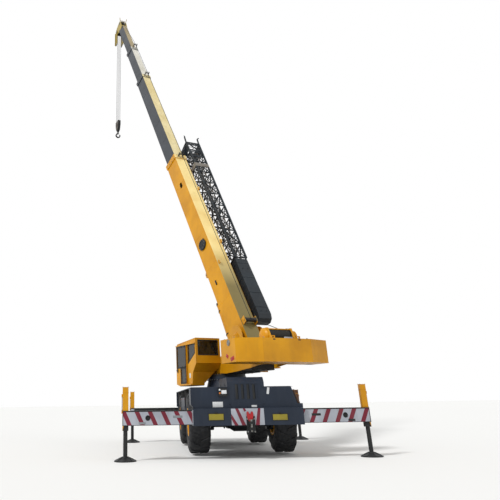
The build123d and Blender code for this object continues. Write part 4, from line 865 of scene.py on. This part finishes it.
# counterweight: plain rear, blank red plates, pin caps, lashing slots
weight = {"rear": -3.5, "facet": 0.8, "half": 1.53, "front": -2.45, "low": 2.3323, "high": 2.956}
rearY, low, high = weight["rear"], weight["low"], weight["high"]
for y, z, wide, tall, turn in ((-2.79, 2.505, 0.13, 0.09, 32), (-3.06, 2.425, 0.2, 0.1, -14)):
    place = Matrix.Translation((-weight["half"], y, z)) @ Matrix.Rotation(math.radians(turn), 4, "X")
    addBlock((-0.0035, -wide / 2, -tall / 2), (0.0035, wide / 2, tall / 2), 0.001, place)
finishPiece("blankRedPlates", redEnamel, "upper_works")
for side in (-1, 1):
    addLathe([(85, -2), (85, 10), (66, 18), (30, 20), (0, 20)], (side * weight["half"], -2.9, 2.85), (side, 0, 0))
studs = [(x, rearY + 0.06, high) for x in (-0.72, 0.72)]
studs += [(x, y, high) for x in (-1.45, 1.45) for y in (-3.1, -2.55)]
addBolts(studs, (0, 0, 1), 0.036)
finishPiece("weightCaps", zincSteel, "upper_works")
# black blocks on the rear and underside stand for the slots' openings: painted shade
for x in (-0.42, 0.42):
    addBlock((x - 0.04, rearY - 0.002, 2.905), (x + 0.04, rearY + 0.01, 2.935), 0.002)
for side in (-1, 1):
    x0, x1, y = side * 1.2, side * 1.36, weight["front"] - 0.1
    addBlock((x0, y - 0.2, low - 0.004), (x1, y, low + 0.001), 0.001)
finishPiece("weightSlotShade", blackEnamel, "upper_works")
for side in (-1, 1):
    # weld seams where the slab's facets meet, and the cover plates on its top
    x, y = side * weight["facet"], rearY + 0.001
    addRod((x, y, low + 0.01), (x, y, high - 0.01), 0.004, 8)
    addBlock((side * 0.66, -3.05, high - 0.001), (side * 1.42, -2.5, high + 0.006), 0.003)
finishPiece("weightSeams", yellowEnamel, "upper_works")
print("counterweight dressed")

# hoist: wound rope, gearbox, brake cover, valve box, and the rope up to the foot roller
hoist = {"half": 0.33, "core": 0.17, "rope": 0.0095, "layers": 3, "cheek": 0.426}
y, z, r = drumAxis.y, drumAxis.z, hoist["rope"]
wound = hoist["core"] + hoist["layers"] * 2 * r * 0.9
profile = [(hoist["core"], -hoist["half"])]
for i in range(int(hoist["half"] / r)):
    for a in [math.pi * (k + 0.5) / 4 for k in range(4)]:
        profile.append((wound - r + r * math.sin(a), -hoist["half"] + r * (2 * i + 1 - math.cos(a))))
profile.append((hoist["core"], hoist["half"]))
addLathe([(radius * 1000, width * 1000) for radius, width in profile], (0, y, z), (1, 0, 0), 48)
finishPiece("woundRope", woundSteel, "hoist_drum", smooth=60)
for side in (-1, 1):
    for radius in (0.2, 0.215):
        addRing((side * 0.361, y, z), (1, 0, 0), radius, 0.004, 48, 6)
    addBolts(circle((side * 0.3605, y, z), "x", 0.13, 8), (side, 0, 0), 0.006)
finishPiece("drumFlangeRims", castSteel, "hoist_drum")
right = hoist["cheek"]
box = [(178, 0), (178, 22), (165, 28), (165, 150), (150, 166), (90, 170)]
addLathe(box, (right, y, z), (1, 0, 0), 40)
addBolts(circle((right + 0.022, y, z), "x", 0.171, 12), (1, 0, 0), 0.01)
finishPiece("hoistGearbox", yellowEnamel, "upper_works")
addLathe([(92, 165), (92, 200), (80, 206), (30, 208), (26, 220), (0, 221)], (right, y, z), (1, 0, 0))
finishPiece("hoistGearboxEnd", castSteel, "upper_works")
dome = [(222, 0), (222, 16), (206, 24), (196, 46), (160, 70), (105, 85), (45, 91), (0, 92)]
addLathe(dome, (-right, y, z), (-1, 0, 0), 48)
addBolts(circle((-right - 0.016, y, z), "x", 0.214, 12), (-1, 0, 0), 0.008)
finishPiece("hoistBrakeCover", yellowEnamel, "upper_works", smooth=50)
addBlock((0.02, -3.366, 2.7005), (0.3, -3.336, 3.01), 0.006)
finishPiece("hoistValveBox", whiteEnamel, "upper_works", rounding=0.003)
for side in (-1, 1):
    addBolts([(side * right, y + a, z + b) for a in (-0.2, 0.2) for b in (-0.28, -0.1)], (side, 0, 0))
for tieY in (-3.17, -2.89):
    addRod((-0.372, tieY, 3.235), (0.372, tieY, 3.235), 0.018, 16)
finishPiece("hoistTies", yellowEnamel, "upper_works")
roller = {"y": 0.35, "z": 0.472, "radius": 0.062, "half": 0.196, "lip": 0.02}
rollerTop = boom @ Vector((0, roller["y"], roller["z"] + roller["radius"] + r))
drumTop = upper @ Vector((0.06, y + 0.03, z + wound + 0.004))
addPath([drumTop, rollerTop], r, 10)
leadRope = finishPiece("leadRope", ropeSteel, None)
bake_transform(leadRope)
print("hoist made")

# cab: gaskets round the windows
cab = {"left": -1.3, "right": -0.43, "rear": -0.4, "front": 1.08, "door": -1.345, "roof": 3.24}
left, right, rear, front, door = (cab[key] for key in ("left", "right", "rear", "front", "door"))


def frameStrip(outline, width, low, high, axis):
    # a flat rubber moulding that follows a window's outline, round the outside of the opening
    outline = [Vector(p) for p in outline]
    middle = sum(outline, Vector((0, 0))) / len(outline)
    for a, b in zip(outline, outline[1:] + outline[:1]):
        run = (b - a).normalized()
        out = Vector((run.y, -run.x))
        if out.dot((a + b) / 2 - middle) < 0:
            out = -out
        long, short, lap = run * width * 0.9, run * width * 0.55, out * 0.004
        quad = [a - long - lap, b + long - lap, b + short + out * width, a - short + out * width]
        addSlab([tuple(p) for p in quad], low, high, axis)


def square(x0, z0, x1, z1):
    return [(x0, z0), (x1, z0), (x1, z1), (x0, z1)]


leftWindow = [(-0.31, 2.8), (0.17, 2.52), (0.17, 3.05), (-0.31, 3.07)]
rightWindow = [(-0.25, 2.56), (0.95, 2.56), (0.95, 3.0), (-0.25, 3.05)]
frameStrip(leftWindow, 0.03, left - 0.004, left + 0.003, "x")
frameStrip(rightWindow, 0.024, right - 0.003, right + 0.004, "x")
frameStrip(square(-1.21, 2.74, -0.52, 3.17), 0.022, rear - 0.005, rear + 0.003, "y")
frameStrip(square(-1.23, 2.14, -0.5, 3.01), 0.024, front - 0.003, front + 0.005, "y")
for x, signX in ((-1.21, 1), (-0.52, -1)):
    for z, signZ in ((2.74, 1), (3.17, -1)):
        # filler that rounds the rear window's corners
        arc = [math.pi / 2 * k / 5 for k in range(6)]
        bend = [(0.055 * (1 - math.cos(a)), 0.055 * (1 - math.sin(a))) for a in arc]
        curve = [(x + signX * p, z + signZ * q) for p, q in bend]
        addSlab([(x, z)] + curve, rear + 0.004, rear + 0.016, "y")
addBlock((-1.285, -0.06, 1.8275), (-0.885, 0.87, 1.8345), 0.002)   # rubber strip under the floor
finishPiece("windowGaskets", gasketRubber, "upper_works")
for outline in (square(0.3, 2.42, 0.93, 3.03), square(0.3, 1.94, 0.64, 2.36)):
    frameStrip(outline, 0.046, door - 0.004, door + 0.002, "x")
addBlock((door - 0.003, 0.2405, 1.885), (door + 0.036, 0.2455, 3.07))
finishPiece("doorGaskets", gasketRubber, "cab_door")

# door handle and rollers, wipers, roof lamp and hatch, plate, seams
addBlock((door - 0.026, 0.86, 2.255), (door + 0.001, 0.905, 2.375), 0.006)
addRod((door - 0.022, 0.882, 2.315), (door - 0.05, 0.882, 2.315), 0.008)
addBlock((door - 0.058, 0.8, 2.3), (door - 0.046, 0.895, 2.33), 0.004)
for y in (0.4, 0.85):
    addRod((door + 0.01, y, 1.8799), (door + 0.01, y, 1.8915), 0.018, 16)
finishPiece("doorHandle", castSteel, "cab_door")
for x, z, y, out, tall in ((-0.86, 2.12, front + 0.006, 1, 0.55), (-0.56, 2.755, rear - 0.007, -1, 0.24)):
    addRod((x, y - out * 0.006, z), (x, y + out * 0.022, z), 0.016, 16)
    addRod((x, y + out * 0.018, z), (x - 0.16, y + out * 0.014, z + tall), 0.006)
    blade = y + out * 0.004
    addBlock((x - 0.166, blade - 0.004, z + tall * 0.45), (x - 0.154, blade + 0.004, z + tall * 1.35), 0.002)
finishPiece("railsAndWipers", blackEnamel, "upper_works")
addLathe([(85, 0), (85, 12), (70, 16), (0, 16)], (-0.87, -0.1, 3.231), (0, 0.05, 1), 28)
hatch = Matrix.Rotation(math.radians(-3.9), 4, "X") @ Matrix.Translation((0, -0.145, 0.0555))
addBlock((-1.18, 0.25, 3.172), (-0.55, 0.8, 3.186), 0.006, hatch)
finishPiece("roofFittings", blackEnamel, "upper_works")
addBlock((left - 0.003, 0.02, 2.06), (left + 0.001, 0.12, 2.2), 0.001)
finishPiece("blankCabPlate", plateWhite, "upper_works")
seamY, roof = rear - 0.001, cab["roof"]
for x in (left, right):
    addRod((x, seamY, 2.5), (x, seamY, 3.235), 0.007, 8)
addRod((left, seamY, 2.49), (right, seamY, 2.49), 0.007, 8)
addRod((left, rear, roof), (right, rear, roof), 0.009, 8)
for x in (left - 0.001, right + 0.001):
    addRod((x, rear, 3.238), (x, 0.99, 3.15), 0.009, 8)
finishPiece("cabSeams", yellowEnamel, "upper_works")

# seat: crowned cushion and back with stitched channels, on a column
seat = {"puff": 0.018, "cuts": 10, "channel": 0.006, "channels": 5, "fill": 0.9}


def addCushion(low, high, place=world):
    bmesh.ops.create_cube(bm, size=1.0)
    bmesh.ops.subdivide_edges(bm, edges=bm.edges[:], cuts=seat["cuts"], use_grid_fill=True)
    size = [h - l for l, h in zip(low, high)]
    thin = size.index(min(size))
    for v in bm.verts:
        p = v.co * 2
        one, two = [abs(p[k]) for k in range(3) if k != thin]
        crown = (1 - one ** 4) * (1 - two ** 4)
        channel = seat["channel"] * (0.5 + 0.5 * math.cos(p[0] * math.pi * seat["channels"])) * crown
        inward = 1 - 0.1 * abs(p[thin]) ** 3
        q = [p[k] * size[k] / 2 * inward for k in range(3)]
        q[thin] = p[thin] * (size[thin] / 2 - seat["puff"] * (1 - crown)) - (channel if p[thin] > 0 else 0)
        v.co = place @ ((Vector(low) + Vector(high)) / 2 + Vector(q))


addCushion((-1.225, 0.135, 2.26), (-0.775, 0.595, 2.35))
cushion = finishPiece("seatCushion", seatVinyl, "upper_works", smooth=60)
lean = Matrix.Translation((0, 0.11, 2.29)) @ Matrix.Rotation(math.radians(5.9), 4, "X")
addCushion((-1.215, -0.048, 0.0), (-0.785, 0.048, 0.56), lean)
backrest = finishPiece("seatBackrest", seatVinyl, "upper_works", smooth=60)
addBlock((-1.13, 0.2, 1.871), (-0.925, 0.5, 1.902), 0.006)
addBlock((-1.07, 0.28, 1.9), (-0.98, 0.42, 2.262), 0.012)
for i in range(6):
    addRing((-1.025, 0.35, 1.94 + i * 0.035), (0, 0, 1), 0.072, 0.012, 24)   # rubber bellows
for x in (-1.245, -0.755):
    # armrests with a lever on each
    addBlock((x - 0.022, 0.19, 2.42), (x + 0.022, 0.5, 2.455), 0.01)
    addRod((x, 0.2, 2.3), (x, 0.2, 2.425), 0.012)
    addRod((x, 0.47, 2.452), (x, 0.47, 2.56), 0.007)
    addLathe([(0, 0), (16, 4), (20, 22), (12, 40), (0, 44)], (x, 0.47, 2.555), (0, 0, 1), 16)
seatFrame = finishPiece("seatFrame", dashPlastic, "upper_works")
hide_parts("cab_seat")
for x in (-1.15, -1.085, -1.02):
    addLathe([(24, 0), (24, 6), (20, 8), (0, 8)], (x, 0.742, 2.4155), (0, -0.55, 0.83), 20)
for x in (-1.16, -1.02):
    addBlock((x - 0.035, 0.56, 1.875), (x + 0.035, 0.65, 1.895), 0.006)
finishPiece("dashGauges", clearLens, "upper_works")
print("cab dressed")

# boom: half widths at the top and bottom of each section, half height, tail and tip
sections = {
    "boom_base": (0.256, 0.355, 0.352, -0.45, 9.27), "boom_second": (0.214, 0.309, 0.306, 7.61, 16.76),
    "boom_third": (0.176, 0.267, 0.263, 11.33, 20.278), "boom_fourth": (0.14, 0.228, 0.223, 14.8, 23.62),
}
collar = {"length": 0.26, "grow": 0.028, "bolt": 0.055}
guide = {"z": 0.534, "half": 0.092, "roller": 0.03}
ropeZ = guide["z"] + hoist["rope"]


def sideSlope(section):
    top, bottom, half = section[:3]
    return math.atan2(bottom - top, 2 * half)


def sidePoint(section, y, share, side, proud=0.0):
    # a point on the sloping side wall: share 0 at the bottom edge, 1 at the top edge
    top, bottom, half = section[:3]
    slope = sideSlope(section)
    x = bottom + (top - bottom) * share + proud * math.cos(slope)
    return Vector((side * x, y, -half + 2 * half * share + proud * math.sin(slope)))


def dressSection(name, section):
    top, bottom, half, tail, tip = section
    last = name == "boom_fourth"
    start, end = tail + (0.45 if name == "boom_base" else 0.3), tip - (0.1 if last else 0.262)
    seams = int((end - start) / 1.55)
    for side in (-1, 1):
        # fillet welds along the corners, and seams across the sides
        for share in (0.995, 0.005):
            line = [sidePoint(section, y, share, side, 0.001) for y in (start, end)]
            addRod(*line, 0.0045, 6)
        for y in [start + (end - start) * i / (seams + 1) for i in range(1, seams + 1)]:
            line = [sidePoint(section, y, share, side, 0.0005) for share in (0.01, 0.99)]
            addRod(*line, 0.0028, 6)
    finishPiece("weldSeams_" + name, yellowEnamel if name == "boom_base" else slateEnamel, name)
    if last:
        return
    near, grow, slope = tip - collar["length"], collar["grow"], sideSlope(section)
    for y in (near + collar["bolt"], tip - collar["bolt"]):
        for side in (-1, 1):
            places = [sidePoint(section, y, share, side, grow) for share in (0.12, 0.37, 0.63, 0.88)]
            addBolts(places, (side * math.cos(slope), 0, math.sin(slope)), 0.026)
        addBolts([(x * top, y, half + grow) for x in (-0.6, 0.0, 0.6)], (0, 0, 1), 0.026)
        addBolts([(x * bottom, y, -half - grow) for x in (-0.6, 0.0, 0.6)], (0, 0, -1), 0.026)
    finishPiece("collarBolts_" + name, zincSteel, name)
    # rope guide on the collar: two posts, a tie, and a roller under the rope
    floor, high, y = half + grow - 0.002, guide["z"] + 0.05, near + 0.13
    for x in (-guide["half"], guide["half"]):
        post = [(near + 0.05, floor), (near + 0.21, floor), (near + 0.165, high), (near + 0.095, high)]
        addSlab(post, x - 0.006, x + 0.006)
    z = guide["z"] - guide["roller"]
    addRod((-0.086, y, z), (0.086, y, z), guide["roller"], 20)
    addRod((-0.098, y, guide["z"] + 0.036), (0.098, y, guide["z"] + 0.036), 0.008)
    finishPiece("ropeGuide_" + name, castSteel, name)


for name, section in sections.items():
    dressSection(name, section)

# hoist rope along the top: each stretch reaches from one collar's guide to the next
addPath([(0, roller["y"], ropeZ), (0, 9.14, ropeZ)], hoist["rope"], 10)
finishPiece("topRope_boom_base", ropeSteel, "boom_base")
marks = [(0, 9.14, ropeZ), (0, 16.63, ropeZ), (0, 20.15, ropeZ), (-0.06, 24.13, 0.244)]
names = list(sections)
for inner, outer, start, end in zip(names, names[1:], marks, marks[1:]):
    addPath([start, end], hoist["rope"], 10)
    topRope = finishPiece("topRope_" + outer, ropeSteel, None, place=boom)
    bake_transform(topRope)

# base section: round cover on its left side, side bracket, foot roller, lug bosses, lifting rings, lift pin
section = sections["boom_base"]
slope = sideSlope(section)
outward, along = Vector((-math.cos(slope), 0, math.sin(slope))), Vector((0, 1, 0))
middle = Vector((-(section[0] + section[1]) / 2, 4.06, 0)) + outward * 0.045
cover = [(205.5, -46), (205.5, 2), (190, 9), (150, 11), (145, 4), (60, 4), (50, 13), (0, 15)]
addLathe(cover, middle, outward, 48)
turn = Matrix.Rotation(math.radians(-40), 4, "Z") @ Matrix.Rotation(math.radians(90), 4, "X")
handle = Matrix.Translation(middle - outward * 0.02) @ turnTo(outward) @ turn
addBlock((-0.03, -0.01, -0.24), (0.03, 0.012, -0.16), 0.004, handle)
finishPiece("roundCover", blackEnamel, "boom_base")
across = outward.cross(along).normalized()
ring = [along * math.cos(a) + across * math.sin(a) for a in turns(8)]
addBolts([middle + outward * 0.009 + 0.17 * way for way in ring], outward, 0.02)
finishPiece("coverBolts", zincSteel, "boom_base")
place = Matrix.Translation(sidePoint(section, 2.3, 0.42, -1, 0.012)) @ Matrix.Rotation(slope, 4, "Y")
addBlock((-0.014, -0.09, -0.025), (0.014, 0.09, 0.025), 0.003, place)
finishPiece("sideBrackets", blackEnamel, "boom_base")
r, lip, half = (roller[key] * 1000 for key in ("radius", "lip", "half"))
halfRoller = [(30, half), (r + lip, half), (r + lip, half - lip), (r + 0.5, half - 30)]
addLathe([(a, -b) for a, b in halfRoller] + halfRoller[::-1], (0, roller["y"], roller["z"]), (1, 0, 0), 40)
finishPiece("footRoller", castSteel, "boom_base")
lug = {"y": 3.2, "z": -0.632, "face": 0.135}
for side in (-1, 1):
    addLathe([(45, 0), (45, 12), (30, 18), (0, 18)], (side * 0.222, roller["y"], roller["z"]), (side, 0, 0), 24)
    boss = [(45.5, -1), (100, 0), (100, 16), (88, 22), (45.5, 22)]
    addLathe(boss, (side * lug["face"], lug["y"], lug["z"]), (side, 0, 0), 36)
for x, y in ((0.225, 3.93), (0.225, 6.95), (-0.2, 2.87)):
    addRing((x, y, section[2] + 0.06), (1, 0, 0), 0.038, 0.009, 24)
finishPiece("baseBosses", yellowEnamel, "boom_base")
addRod((-0.138, lug["y"], lug["z"]), (0.138, lug["y"], lug["z"]), 0.0448, 24)
for side in (-1, 1):
    addBlock((side * 0.138, 3.15, -0.65), (side * 0.16, 3.25, -0.614), 0.004)
finishPiece("liftPin", zincSteel, "boom_base")
print("boom dressed")

# boom head: pin retainers, rope keepers and sheave hubs
head = {"inner": 0.174, "plate": 0.19, "upper": (24.13, 0.06), "lower": (24.23, -0.56), "groove": 0.0235}
for side in (-1, 1):
    for pin in (head["upper"], head["lower"]):
        face = Vector((side * head["plate"], *pin))
        addLathe([(72, -1), (72, 12), (58, 18), (20, 20), (0, 20)], face, (side, 0, 0), 28)
        ring = [(side * 0.012, 0.095 * math.cos(a), 0.095 * math.sin(a)) for a in (0.8, 2.4, 4.0, 5.5)]
        addBolts([face + Vector(p) for p in ring], (side, 0, 0), 0.018)
finishPiece("headPins", zincSteel, "boom_fourth")
for (y, z), radius, angles in ((head["upper"], 0.222, (60, 115)), (head["lower"], 0.252, (30, 72))):
    for a in angles:
        keeperY, keeperZ = y + radius * math.cos(math.radians(a)), z + radius * math.sin(math.radians(a))
        addRod((-head["inner"], keeperY, keeperZ), (head["inner"], keeperY, keeperZ), 0.011)
addBlock((-0.171, 23.75, -0.215), (0.171, 23.78, 0.1), 0.002)
finishPiece("ropeKeepers", paleHorn, "boom_fourth")
hubs = ((head["upper"], 75, (-0.06, 0.06)), (head["lower"], 85, (-0.111, -0.037, 0.037, 0.111)))
for (y, z), hub, places in hubs:
    for x in places:
        for way in (-1, 1):
            face = way * head["groove"]
            addLathe([(40.5, -1), (hub, 0), (hub, 4), (40.5, 4.5)], (x + face, y, z), (way, 0, 0), 28)
            if hub == 75:
                addRing((x + face * 0.98, y, z), (1, 0, 0), 0.15, 0.003, 36, 6)
finishPiece("sheaveHubs", castSteel, "boom_fourth")

# hook block: riveted cheek plates, collar and safety latch, drawn down from the block's top
block = {"inner": 0.0695, "face": 0.082}
cheek = [(0.225, -0.004), (0.225, -0.25), (0.168, -0.47), (0.088, -0.618)]
for side in (-1, 1):
    addSlab([(-y, z) for y, z in cheek] + cheek[::-1], side * block["inner"], side * block["face"])
    addLathe([(85, 0), (85, 18), (65, 26), (30, 28), (0, 28)], (side * block["face"], 0, -0.235), (side, 0, 0))
finishPiece("hookCheeks", hookPaint, "hook")
for side in (-1, 1):
    for y, z in ((0.195, -0.035), (0.195, -0.235), (0.14, -0.455), (0.07, -0.585)):
        addBolts([(side * block["face"], -y, z), (side * block["face"], y, z)], (side, 0, 0), 0.02)
addLathe([(46, -830), (62, -826), (62, -790), (46, -786)], (0, 0, 0), (0, 0, 1), 24)
finishPiece("hookBolts", zincSteel, "hook")
addPath(smoothPath([(0.128, 0.0, -0.905), (0.095, 0.0, -0.86), (0.045, 0.0, -0.818)], 5), 0.009)
finishPiece("hookLatch", zincSteel, "hook")
print("head and hook dressed")

# stowed jib: the lattice narrows from its root to its tip
jib = {
    "root": 10.12, "tip": 0.47, "box": 3.1, "inner": 0.48, "rootWidth": 0.64, "tipWidth": 0.4,
    "low": -0.05, "rootTop": 0.56, "tipTop": 0.42, "bays": 10, "gusset": 0.115,
}


def jibPoint(y, across, height):
    # across and height run from 0 to 1 over the lattice's section
    full = (y - jib["tip"]) / (jib["root"] - jib["tip"])
    width = jib["tipWidth"] + full * (jib["rootWidth"] - jib["tipWidth"])
    top = jib["tipTop"] + full * (jib["rootTop"] - jib["tipTop"])
    return Vector((jib["inner"] + across * width, y, jib["low"] + height * (top - jib["low"])))


stations = [jib["box"] + i / jib["bays"] * (jib["root"] - jib["box"]) for i in range(jib["bays"] + 1)]
chords = [(0, 0), (1, 0), (1, 1), (0, 1)]
for i, y in enumerate(stations):
    for k, (one, two) in enumerate(zip(chords, chords[1:] + chords[:1])):
        # a gusset at each node, and the second diagonal of each bay in thinner tube
        axis = Vector((two[0] - one[0], 0, two[1] - one[1]))
        shift = axis.cross(along).normalized() * 0.004
        for chord, way in ((one, 1), (two, -1)):
            node = jibPoint(y, *chord)
            reach = along * (jib["gusset"] if i < jib["bays"] else -jib["gusset"])
            tri = [node, node + axis * way * jib["gusset"], node + reach]
            addLoft([[p - shift for p in tri], [p + shift for p in tri]])
        if i < jib["bays"]:
            ahead = stations[i + 1]
            start, end = (two, one) if (i + k) % 2 else (one, two)
            addRod(jibPoint(y, *start), jibPoint(ahead, *end), 0.016, 8)
            addRod(jibPoint((y + ahead) / 2, *one), jibPoint((y + ahead) / 2, *two), 0.013, 8)
finishPiece("jibBracing", jibEnamel, "boom_base")

# the extension nested inside: four thinner chords with their own bracing
nested = {"near": 0.27, "far": 0.73, "low": 0.24, "high": 0.76, "bays": 24, "chord": 0.02, "brace": 0.012}
inner = square(nested["near"], nested["low"], nested["far"], nested["high"])
start, end = jib["box"] + 0.02, jib["root"] - 0.45
steps = [start + (end - start) * i / nested["bays"] for i in range(nested["bays"] + 1)]
for k, (one, two) in enumerate(zip(inner, inner[1:] + inner[:1])):
    addRod(jibPoint(start, *one), jibPoint(end, *one), nested["chord"], 10)
    for i in range(nested["bays"]):
        y0, y1 = steps[i:i + 2][::-1] if (i + k) % 2 else steps[i:i + 2]
        addRod(jibPoint(y0, *one), jibPoint(y1, *two), nested["brace"], 6)
finishPiece("nestedExtension", jibPale, "boom_base")

# boards between the chords near the root, and the cross board a fifth of the way down
for near, far in ((9.93, 10.06), (9.5, 9.6), (9.1, 9.18)):
    for height in (0.0, 1.0):
        p, q = jibPoint(near, 0, height), jibPoint(far, 1, height)
        addBlock((p.x, near, p.z - 0.01), (q.x, far, p.z + 0.01), 0.003)
for across in (0.0, 1.0):
    p, q = jibPoint(9.55, across, 0), jibPoint(10.05, across, 1)
    addBlock((p.x - 0.008, 9.55, p.z), (p.x + 0.008, 10.05, q.z), 0.003)
finishPiece("jibRootPlates", jibEnamel, "boom_base")
p, q = jibPoint(8.35, 0, 1), jibPoint(8.55, 1, 1)
addBlock((p.x - 0.02, 8.35, p.z + 0.02), (q.x + 0.02, 8.58, p.z + 0.036), 0.004)
addBlock((p.x - 0.036, 8.35, jib["low"] + 0.05), (p.x - 0.03, 8.58, p.z + 0.036), 0.002)
finishPiece("crossBoard", jibPale, "boom_base")
for across, way in ((0, -1), (1, 1)):
    root = jibPoint(jib["root"], across, 1) + Vector((0, 0.3, 0.038))
    bend = [(0, 0, 0), (0.006, 0.02, 0.03), (0.03, 0.025, 0.058), (0.06, 0.008, 0.07)]
    addPath(smoothPath([root + Vector((way * x, y, z)) for x, y, z in bend], 5), 0.022, 10)
    foot = jibPoint(jib["root"], across, 0) + Vector((0, 0.045, 0))
    addLathe([(22, -36), (52, -36), (52, 36), (22, 36)], foot, (1, 0, 0), 24)
finishPiece("jibHooks", jibEnamel, "boom_base")

# boxed inner end: bands, lifting rings, pin and bolts
inner, low = jib["inner"], jib["low"] - 0.015
for y in (0.95, 1.55, 2.2, 2.85):
    top, side = jibPoint(y, 0, 1).z, jibPoint(y, 1, 0).x
    y0, y1 = y - 0.02, y + 0.02
    addBlock((inner - 0.0205, y0, top - 0.0015), (side + 0.0005, y1, top + 0.006), 0.002)
    addBlock((side - 0.001, y0, low), (side + 0.006, y1, top), 0.002)
    addBlock((inner - 0.0255, y0, low), (inner - 0.019, y1, top), 0.002)
for y in (0.8, 2.6):
    for x in (0.6, 0.8):
        addRing((x, y, jibPoint(y, 0, 1).z + 0.004), (1, 0, 0), 0.036, 0.008, 20, 8, (180.0, 360.0))
finishPiece("jibBoxSeams", jibEnamel, "boom_base")
for x, way in ((jibPoint(0.78, 1, 0).x, 1), (inner - 0.02, -1)):
    addLathe([(60, -1), (60, 12), (45, 18), (0, 18)], (x, 0.7, 0.18), (way, 0, 0), 28)
    ring = [(0.0855 * math.cos(a), 0.0855 * math.sin(a)) for a in (0.7, 2.8, 4.9)]
    addBolts([(x + way * 0.012, 0.7 + a, 0.18 + b) for a, b in ring], (way, 0, 0), 0.018)
addBolts([(0.395, y, 0.03) for y in (1.045, 3.295, 9.215)], (0, 0, 1))
finishPiece("jibPins", zincSteel, "boom_base")
print("jib dressed")

# stage, light and camera
floor = {"half": 300.0, "colour": "f1f1ef", "z": -0.002}
bmesh.ops.create_grid(bm, x_segments=1, y_segments=1, size=floor["half"])
mesh = bpy.data.meshes.new("floor")
bm.to_mesh(mesh)
bm.free()
floorPiece = bpy.data.objects.new("floor", mesh)
scene.collection.objects.link(floorPiece)
floorPiece.location.z = floor["z"]
values = {"Base Color": linearColour(floor["colour"]), "Roughness": 0.9}
floorPiece.data.materials.append(newMaterial("paleStudioFloor", values)[0])

# the sky is white where it is seen, mirrored or looked through, and dimmer as a light
sky = {"colour": "ffffff", "light": 0.55, "seen": 1.0}
scene.world = bpy.data.worlds.new("studioWorld")
scene.world.use_nodes = True
tree = scene.world.node_tree
path = addNode(tree, "LightPath")
seen = addNode(tree, "Math", {"operation": "MAXIMUM"}, {0: (path, "Is Camera Ray"), 1: (path, "Is Transmission Ray")})
seen = addNode(tree, "Math", {"operation": "MAXIMUM"}, {0: (seen, "Value"), 1: (path, "Is Glossy Ray")})
strength = addNode(tree, "MapRange", {"To Min": sky["light"], "To Max": sky["seen"]}, {"Value": (seen, "Value")})
setNode(tree.nodes["Background"], {"Color": linearColour(sky["colour"])}, {"Strength": (strength, "Result")})

# towards the sun, its strength and the angle it fills, in degrees
lamps = {"key": ((-34, -29, 44), 2.05, 10.0), "fill": ((30, -25, 20), 0.35, 25.0)}
for lampName, (position, power, spread) in lamps.items():
    lamp = bpy.data.lights.new(lampName, "SUN")
    lamp.energy, lamp.angle = power, math.radians(spread)
    holder = bpy.data.objects.new(lampName, lamp)
    scene.collection.objects.link(holder)
    holder.rotation_mode = "QUATERNION"
    holder.rotation_quaternion = Vector(position).to_track_quat("Z", "Y")

# the focal length and the centre count in units of a 500 wide, square view
view = {
    "place": (-2.612, -19.269, 1.361), "yaw": 0.815, "pitch": 23.331, "roll": 0.82,
    "focal": 551.5, "centre": (152.4, 164.4), "size": 500, "sensor": 36.0, "far": 500,
}
yaw, pitch, roll = (math.radians(view[key]) for key in ("yaw", "pitch", "roll"))
ahead = Vector((math.sin(yaw) * math.cos(pitch), math.cos(yaw) * math.cos(pitch), math.sin(pitch)))
level = Vector((math.cos(yaw), -math.sin(yaw), 0))
above = level.cross(ahead)
right = math.cos(roll) * level - math.sin(roll) * above
top = math.sin(roll) * level + math.cos(roll) * above
cameraData = bpy.data.cameras.new("camera")
cameraData.sensor_width = view["sensor"]
cameraData.lens = view["focal"] / view["size"] * view["sensor"]
cameraData.shift_x = 0.5 - view["centre"][0] / view["size"]
cameraData.shift_y = view["centre"][1] / view["size"] - 0.5
cameraData.clip_end = view["far"]
camera = bpy.data.objects.new("camera", cameraData)
scene.collection.objects.link(camera)
camera.matrix_world = Matrix.Translation(view["place"]) @ Matrix((right, top, -ahead)).transposed().to_4x4()
scene.camera = camera
print("stage, light and camera ready")
